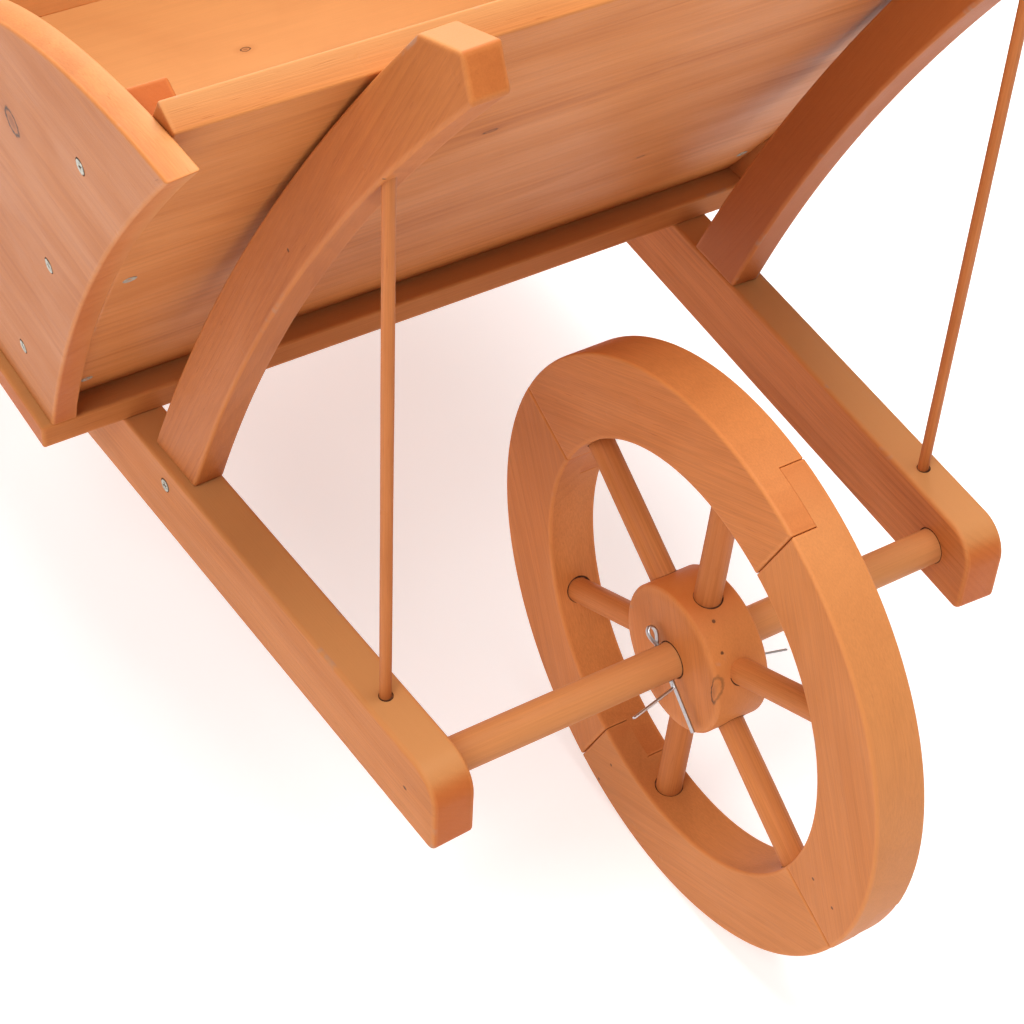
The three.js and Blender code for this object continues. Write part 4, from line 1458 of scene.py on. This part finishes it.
@dataclass
class Chassis:
    """The two rails with their braces, tie rods and legs.

    Attributes:
        axes: the rails' slanted axes.
        bottom: height of the rails' lower edge.
        top: height of their upper edge.
        front: their front end, behind the axle.
        end: their back end.
        nose: radius of the front end's upper corner.
        chin: radius of its lower corner.
        grip: length of the shaped handle.
        grip_bottom: height of the handle's lower edge.
        grip_top: height of the handle's upper edge.
        brace_thick: thickness of the curved braces.
        rod: radius of the tie rods.
        rod_back: where they stand, behind the axle.
        rod_top: height of their upper ends.
        leg: front and back edges of the legs.
        leg_thick: thickness of the legs.
        stretcher: radius of the bar between the legs.
        stretcher_up: its height.
        rail_tones: how light the left and the right rail are.
        brace_tones: how light the left and the right brace are; their lower tones are partly painted shade,
            most on the far, right brace.
        rail_painted_top_light: how much lighter the rails' tops are painted, as painted light from above.
        brace_painted_top_light: how much lighter the braces' tops are painted, as painted light from above.
    """

    axes: RailAxes = RailAxes()
    bottom: float = 138.0
    top: float = 186.0
    front: float = -30.0
    end: float = 900.0 / math.cos(math.atan(0.0576))
    nose: float = 19.0
    chin: float = 5.0
    grip: float = 175.0
    grip_bottom: float = 151.0
    grip_top: float = 181.0
    brace_thick: float = 17.5
    rod: float = 3.0
    rod_back: float = 30.0
    rod_top: float = 494.0
    leg: tuple[float, float] = (590.0, 638.0)
    leg_thick: float = 20.0
    stretcher: float = 9.5
    stretcher_up: float = 72.0
    rail_tones: tuple[float, float] = (0.1, 0.0)
    brace_tones: tuple[float, float] = (-0.55, -1.2)
    rail_painted_top_light: float = 1.5
    brace_painted_top_light: float = 3.2

    def _rail_outline(self) -> Array:
        """The rail seen from its side: a round nose, and a thinner, rounded grip."""
        start, ease = self.end - self.grip, 0.2 * self.grip
        low, high = self.grip_bottom, self.grip_top
        near, far, r = start + ease, start + 2 * ease, (high - low) / 2
        bottom, top, front = self.bottom, self.top, self.front
        return np.concatenate([
            bezier((start, bottom), (near, bottom), (near, low), (far, low), 14),
            arc((self.end - r, low), (self.end - r, high), r, 1, 25),
            bezier((far, high), (near, high), (near, top), (start, top), 14),
            arc((front + self.nose, top), (front, top - self.nose), self.nose, 1, 16),
            arc((front, bottom + self.chin), (front + self.chin, bottom), self.chin, 1, 8),
        ])

    def _brace_outline(self) -> Array:
        """The brace seen from its side, between two slack arcs."""
        foot = self.top + 0.3
        back = arc((243, foot), (3, 569), 1650, 1, 40)
        front = arc((-32, 558.5), (202, foot), 1250, -1, 40)
        return np.concatenate([back, [(-24.5, 576.5)], front])

    def _rail(self, side: Side, finishes: Finishes) -> None:
        """One rail, with painted shadow rings round the axle and the tie rod."""
        left = side is Side.LEFT
        bark = (0.0, 1.0, 0.25) if left else (0.0, 0.8, -0.9)
        grain = Grain((1, 0, 0), bark, 41 if left else 46, -112.0, 12.0, self.rail_tones[not left])
        rail = board(self._rail_outline(), self.axes.thick, (2.0, 2.0), 2.0, margin=2.4)
        rod = self.axes.point(side, self.axes.thick / 2, self.rod_back, self.top)
        inner = -np.array(self.axes.placement(side).z)
        axle = (side.value * self.axes.inner_x, 0.0, AXLE_HEIGHT)
        shells = [
            rail.with_grain(grain).placed(self.axes.placement(side)),
            gap_ring(rod, (0, 0, 1), self.rod, 0.75, offset=0.35),
            gap_ring(axle, inner, AXLE_RADIUS, 0.6, offset=0.2),
        ]
        woods = [finishes.battens, finishes.gap]
        # Painted light: the rail's top gets a lighter tone.
        add_piece(f"rail_{side.word}", shells, woods, painted_top_light=self.rail_painted_top_light)

    def _brace(self, side: Side, finishes: Finishes) -> None:
        """One curved brace."""
        left = side is Side.LEFT
        # Painted shade: the brace's tone is lowered, most on the far, right brace; its top gets painted
        # light.
        tone, seed = self.brace_tones[not left], 52 if left else 57
        grain = Grain((-0.5, 0.866, 0.05), (0.35, 0.2, 1.0), seed, 46.0, -20.0, tone)
        brace = board(self._brace_outline(), self.brace_thick, (1.6, 1.6), 1.6).with_grain(grain)
        shells = [brace.placed(self.axes.placement(side))]
        add_piece(f"brace_{side.word}", shells, [finishes.battens], painted_top_light=self.brace_painted_top_light)

    def _tie_rod(self, side: Side, finishes: Finishes) -> None:
        """One thin upright rod, from the rail's top up into the brace."""
        sunk = 14
        foot = self.axes.point(side, self.axes.thick / 2, self.rod_back, self.top - sunk)
        rod = dowel(self.rod, self.rod_top - self.top + sunk, 0.3, 28, 0.04, side.value)
        rod = rod.with_grain(Grain((0, 0, 1), (1, 0.2, 0), 60 + side.value, 21.0, 4.0, -0.45))
        add_piece(f"tie_rod_{side.word}", [rod.placed(Placement(foot))], [finishes.dowels])

    def _leg(self, side: Side, finishes: Finishes) -> None:
        """One leg inside the rail, with a painted shadow ring round the stretcher."""
        (front, back), gap = self.leg, 0.3
        outline = np.array([(front, 0), (back, 0), (back, self.top), (front, self.top)], float)
        leg = board(outline, self.leg_thick, (1.8, 1.8), 1.8)
        leg = leg.with_grain(Grain((0, 1, 0), (0.3, 0, 1), 66 + side.value, 58.0, -614.0))
        place = self.axes.placement(side, -gap, flipped=True)
        middle = self.axes.point(side, -gap - self.leg_thick, (front + back) / 2, self.stretcher_up)
        shells = [leg.placed(place), gap_ring(middle, place.z, self.stretcher, 0.5, offset=0.2)]
        add_piece(f"leg_{side.word}", shells, [finishes.battens, finishes.gap])

    def _stretcher(self, finishes: Finishes) -> None:
        """The round bar between the legs."""
        low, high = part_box("leg_stretcher")
        reach = (high.x - low.x) / 2 / MM
        bar = dowel(self.stretcher, 2 * reach, 0.5, 56, 0.06, 9)
        bar = bar.with_grain(Grain((0, 0, 1), (1, 0.4, 0), 71, 30.0, 6.0, 0.2))
        middle = (-reach, sum(self.leg) / 2, self.stretcher_up)
        place = Placement(middle, (0, 1, 0), (0, 0, 1), (1, 0, 0))
        add_piece("leg_stretcher", [bar.placed(place)], [finishes.dowels])

    def build(self, finishes: Finishes) -> None:
        """Makes the chassis's pieces on both sides."""
        for side in Side:
            for make in (self._rail, self._brace, self._tie_rod, self._leg):
                make(side, finishes)
        self._stretcher(finishes)


# ------------------------------------------------------------------ tray


@dataclass(frozen=True)
class Plane:
    """A plane through a point, with the way out of the wood."""

    point: tuple[float, float, float]
    normal: tuple[float, float, float]

    def moved(self, offset: float) -> "Plane":
        """The same plane moved along its normal."""
        return Plane(tuple(np.array(self.point) + offset * unit(self.normal)), self.normal)


def meeting(*planes: Plane) -> Array:
    """The point where three planes meet, which solves N P = d for their normals N."""
    normals = [unit(plane.normal) for plane in planes]
    return np.linalg.solve(normals, [normal @ plane.point for normal, plane in zip(normals, planes)])


def hewn(
    bounds: Sequence[tuple[Plane, Plane]], grain: Grain, ease: float = 1.0, corner: float = 1.0
) -> Shell:
    """A board between three pairs of planes, which needn't be square to each other.

    A square board of the mean size is made first. A point at shares (u, v, w) of its size then
    moves to the same shares of the way between the eight corners: the sum of each corner times
    the product of its three shares.

    Args:
        bounds: the pairs of planes that its x, y and z lie between.
        grain: how the board lay in its tree, in the square board's axes.
        ease: radius of the long edges.
        corner: radius of the outline's corners.

    Returns:
        The board in the barrow's frame.
    """
    corners = np.array([
        [[meeting(u, v, w) for w in bounds[2]] for v in bounds[1]] for u in bounds[0]
    ])
    steps = [np.diff(corners, axis=i).reshape(-1, 3) for i in range(3)]
    size = np.array([np.linalg.norm(step, axis=1).mean() for step in steps])
    outline = np.array([(0, 0), (size[0], 0), (size[0], size[1]), (0, size[1])])
    shell = board(outline, size[2], (ease, ease), corner).with_grain(grain)
    share = shell.points / size
    weight = np.stack([1 - share, share], axis=2)
    shell.points = np.einsum("ni,nj,nk,ijkc->nc", weight[:, 0], weight[:, 1], weight[:, 2], corners)
    if np.linalg.det([step[0] for step in steps]) < 0:
        shell.faces = [face[::-1] for face in shell.faces]
    return shell.placed(Placement())


@dataclass
class Tray:
    """The splayed tray: a floor, two swept sides, two end panels and four corner cleats.

    Attributes:
        board: thickness of its boards.
        gap: clearance between pieces.
        sunk: how far the eased bottom edges of the panels lie below the floor's face.
        floor_half: half the floor's width.
        floor: front and back ends of the floor.
        floor_base: height of its underside.
        side_foot: half the tray's outer width at the floor.
        flare: how far the sides lean out, in degrees.
        front_foot: where the front panel's outer face meets the floor.
        front_lean: its lean, in degrees.
        front_height: its height along the lean.
        rear_foot: where the rear panel's outer face meets the floor.
        rear_lean: its lean, in degrees.
        rear_height: its height along the lean.
        tip: the sides' highest point, back from the axle and up the face.
        toe: where their front edge meets the floor.
        heel: where their rear edge meets the floor.
        sweep: where the crest's arc turns into the hollow's.
        front_radius: radius of the hollow front edge.
        crest_radius: radius of the crest.
        hollow_radius: radius of the hollow behind it.
        cleat: width of the square cleats.
        cleat_drop: how far they end below the panels' top edges.
        side_inside_painted_light: painted light, how much lighter the sides are inside than outside.
        end_inside_painted_light: painted light, how much lighter the end panels are inside than outside.
        floor_painted_top_light: how much lighter the floor's top is painted than its edges, as painted light
            from above.
    """

    board: float = 14.0
    gap: float = 0.3
    sunk: float = 0.5
    floor_half: float = 233.0
    floor: tuple[float, float] = (264.5, 668.0)
    floor_base: float = 186.05
    side_foot: float = 227.0
    flare: float = 6.0
    front_foot: float = 281.0
    front_lean: float = 36.5
    front_height: float = 412.0
    rear_foot: float = 634.0
    rear_lean: float = 20.0
    rear_height: float = 214.0
    tip: tuple[float, float] = (13.0, 331.0)
    toe: float = 264.5
    heel: float = 652.0
    sweep: float = 250.0
    front_radius: float = 1500.0
    crest_radius: float = 500.0
    hollow_radius: float = 380.0
    cleat: float = 18.0
    cleat_drop: float = 34.0
    side_inside_painted_light: float = 1.2
    end_inside_painted_light: float = 0.8
    floor_painted_top_light: float = 1.5

    @property
    def floor_top(self) -> float:
        """Height of the floor's upper face."""
        return self.floor_base + self.board

    def _side_plane(self, side: Side) -> Plane:
        """A side panel's outer face."""
        lean = math.radians(self.flare)
        foot = (side.value * self.side_foot, 0, self.floor_top)
        return Plane(foot, (side.value * math.cos(lean), 0, -math.sin(lean)))

    def _end_planes(self, rear: bool) -> tuple[Plane, Plane]:
        """An end panel's outer face and its top edge."""
        way, foot = (1, self.rear_foot) if rear else (-1, self.front_foot)
        lean = math.radians(self.rear_lean if rear else self.front_lean)
        height = self.rear_height if rear else self.front_height
        up = np.array([0, way * math.sin(lean), math.cos(lean)])
        foot_point = np.array([0, foot, self.floor_top])
        face = Plane(tuple(foot_point), (0, way * math.cos(lean), -math.sin(lean)))
        return face, Plane(tuple(foot_point + height * up), tuple(up))

    def _floor(self, finishes: Finishes) -> None:
        """The floor board."""
        (front, back), half = self.floor, self.floor_half
        outline = np.array([(-half, front), (half, front), (half, back), (-half, back)])
        floor = board(outline, self.board, (1.6, 1.6), 1.6)
        # Painted light: the floor's tone is lowered all over and raised on its top, so its edges and front
        # lip stand darker as painted shade.
        floor = floor.with_grain(Grain((1, 0, 0), (0, 0.15, 1), 81, 64.0, -300.0, -0.5))
        shells = [floor.placed(Placement((0, 0, self.floor_base)))]
        add_piece("tray_floor", shells, [finishes.boards], painted_top_light=self.floor_painted_top_light)

    def _side_outline(self, bottom: float) -> Array:
        """A side panel in its own face: x back from the axle and y up the face."""
        run = self.sweep - self.tip[0]
        drop = math.asin(run / self.crest_radius)
        sweep_up = self.tip[1] - self.crest_radius * (1 - math.cos(drop))
        low = sweep_up - self.hollow_radius * (1 - math.cos(drop))
        low_back = self.sweep + self.hollow_radius * math.sin(drop)
        heel = (self.heel + low * math.tan(math.radians(self.rear_lean)), low)
        hollow = arc((low_back, low), (self.sweep, sweep_up), self.hollow_radius, -1, 24)
        crest = arc((self.sweep, sweep_up), self.tip, self.crest_radius, 1, 28)[1:]
        front = arc(self.tip, (self.toe, 0), self.front_radius, -1, 30)[1:-1]
        return np.concatenate([[(self.heel, bottom), heel], hollow[:-1], crest, front, [(self.toe, bottom)]])

    def _side(self, side: Side, finishes: Finishes) -> None:
        """One side panel, its bottom cut level with the floor."""
        s, lean = side.value, math.radians(self.flare)
        sin, cos = math.sin(lean), math.cos(lean)
        outer, inner = -self.sunk / cos, (-self.sunk - self.board * sin) / cos
        panel = board(self._side_outline(outer), self.board, (1.3, 1.3), 1.4, self._side_outline(inner))
        panel = panel.with_grain(Grain((1, 0.03, 0), (0, 0.2, -1), 85 + s, 70.0, -120.0, -0.5))
        # Painted light: the inner face gets a lighter tone than the outer one.
        panel.tone = panel.tone + self.side_inside_painted_light * (panel.points[:, 2] > self.board / 2)
        foot = (s * self.side_foot, 0, self.floor_top)
        place = Placement(foot, (0, 1, 0), (s * sin, 0, cos), (-s * cos, 0, sin))
        add_piece(f"side_panel_{side.word}", [panel.placed(place)], [finishes.boards])

    def _end(self, rear: bool, finishes: Finishes) -> None:
        """One end panel, cut to fit between the sides, and its two cleats."""
        word = "rear" if rear else "front"
        face, top = self._end_planes(rear)
        floor = Plane((0, 0, self.floor_top - self.sunk), (0, 0, 1))
        inside = -self.board - self.gap
        walls = tuple(self._side_plane(side).moved(inside) for side in Side)
        grain = Grain((1, 0.02, 0), (0, 0.15, -1), 91 + rear, 66.0, -150.0)
        panel = hewn([walls, (floor, top), (face, face.moved(-self.board))], grain, 1.2, 1.2)
        # Painted light: the inner face gets a lighter tone than the outer one.
        depth = -(panel.points - face.point) @ unit(face.normal)
        panel.tone = panel.tone + self.end_inside_painted_light * (depth > self.board / 2)
        add_piece(f"{word}_panel", [panel], [finishes.boards])
        back, cleat_top = face.moved(inside), top.moved(-self.cleat_drop)
        for side, wall in zip(Side, walls):
            bounds = [(wall, wall.moved(-self.cleat)), (back, back.moved(-self.cleat)), (floor, cleat_top)]
            grain = Grain((0, 0, 1), (1, 0.6, 0), 95 + 2 * rear + side.value, 40.0, 8.0, -0.4)
            cleat = hewn(bounds, grain, 1.0, 1.5)
            add_piece(f"cleat_{word}_{side.word}", [cleat], [finishes.battens])

    def build(self, finishes: Finishes) -> None:
        """Makes the tray's pieces."""
        self._floor(finishes)
        for side in Side:
            self._side(side, finishes)
        for rear in (False, True):
            self._end(rear, finishes)


# ------------------------------------------------------------------ studio


@dataclass
class Studio:
    """A pale floor, soft white lights and the camera.

    Attributes:
        lens: focal length in millimetres on a 36 mm sensor.
        eye: the camera's place in the row frame, in metres.
        right: the picture's right-hand direction.
        down: the picture's downward direction.
        sky: brightness of the white surroundings.
        paper: how much light the floor throws back.
        glow: light that the floor gives off itself.
        lamps: place, size in metres and power in watts of each lamp.
    """

    lens: float = 84.429
    eye: tuple[float, float, float] = (-0.53515, -0.99573, 1.04113)
    right: tuple[float, float, float] = (0.851702, -0.522396, 0.041309)
    down: tuple[float, float, float] = (-0.339193, -0.609664, -0.716420)
    sky: float = 0.42
    paper: float = 0.8
    glow: float = 0.46
    lamps: dict[str, tuple[tuple[float, float, float], float, float]] = field(
        default_factory=lambda: {
            "key": ((-1.7, -1.3, 2.5), 1.4, 38.0),
            "top": ((0.1, -0.3, 2.8), 1.6, 60.0),
            "back": ((0.7, 1.7, 1.9), 1.8, 52.0),
        }
    )

    def _camera(self) -> None:
        """The camera, its axes worked out from the picture's right and down."""
        data = bpy.data.cameras.new("camera")
        data.lens, data.sensor_width = self.lens, 36.0
        right, up = unit(self.right), -unit(self.down)
        axes = np.column_stack([right, up, np.cross(right, up)])
        camera = bpy.data.objects.new("camera", data)
        camera.matrix_world = Matrix.Translation(self.eye) @ Matrix(axes.tolist()).to_4x4()
        bpy.context.scene.collection.objects.link(camera)
        bpy.context.scene.camera = camera

    def _lamp(self, name: str, place: tuple[float, float, float], size: float, power: float) -> None:
        """A square soft lamp that faces the barrow's middle."""
        data = bpy.data.lights.new(name, "AREA")
        data.shape, data.size, data.energy = "SQUARE", size, power
        lamp = bpy.data.objects.new(name, data)
        toward = Vector((0.0, 0.0, 0.25)) - Vector(place)
        lamp.matrix_world = Matrix.Translation(place) @ toward.to_track_quat("-Z", "Y").to_matrix().to_4x4()
        bpy.context.scene.collection.objects.link(lamp)

    def _floor(self) -> None:
        """A wide white floor, just below the feet."""
        half, low = 6.0, -0.0005
        corners = [(-half, -half, low), (half, -half, low), (half, half, low), (-half, half, low)]
        data = bpy.data.meshes.new("studio_floor")
        data.from_pydata(corners, [], [(0, 1, 2, 3)])
        floor = bpy.data.objects.new("studio_floor", data)
        bpy.context.scene.collection.objects.link(floor)
        material = bpy.data.materials.new("studio_paper")
        material.use_nodes = True
        shader = material.node_tree.nodes["Principled BSDF"]
        shader.inputs["Base Color"].default_value = (self.paper, self.paper, self.paper, 1)
        shader.inputs["Roughness"].default_value = 0.9
        shader.inputs["Emission Color"].default_value = (1.0, 1.0, 1.0, 1)
        shader.inputs["Emission Strength"].default_value = self.glow
        data.materials.append(material)

    def build(self) -> None:
        """Sets the studio up."""
        world = bpy.data.worlds.new("studio")
        world.use_nodes = True
        background = world.node_tree.nodes["Background"]
        background.inputs["Color"].default_value = (1.0, 1.0, 1.0, 1.0)
        background.inputs["Strength"].default_value = self.sky
        bpy.context.scene.world = world
        bpy.context.scene.view_settings.view_transform = "Standard"
        self._floor()
        for name, (place, size, power) in self.lamps.items():
            self._lamp(name, place, size, power)
        self._camera()


def main() -> None:
    """Builds the barrow, its screws and the studio."""
    logging.basicConfig(level=logging.INFO, format="%(name)s %(message)s")
    finishes = Finishes.mixed()
    for assembly in (Wheel(), Axle(), Chassis(), Tray()):
        assembly.build(finishes)
        LOG.info("%s done", type(assembly).__name__)
    screws = sorted(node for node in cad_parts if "screw" in node)
    for index, node in enumerate(screws):
        Screw(node).build(finishes, index)
    Studio().build()


if __name__ == "__main__":
    main()
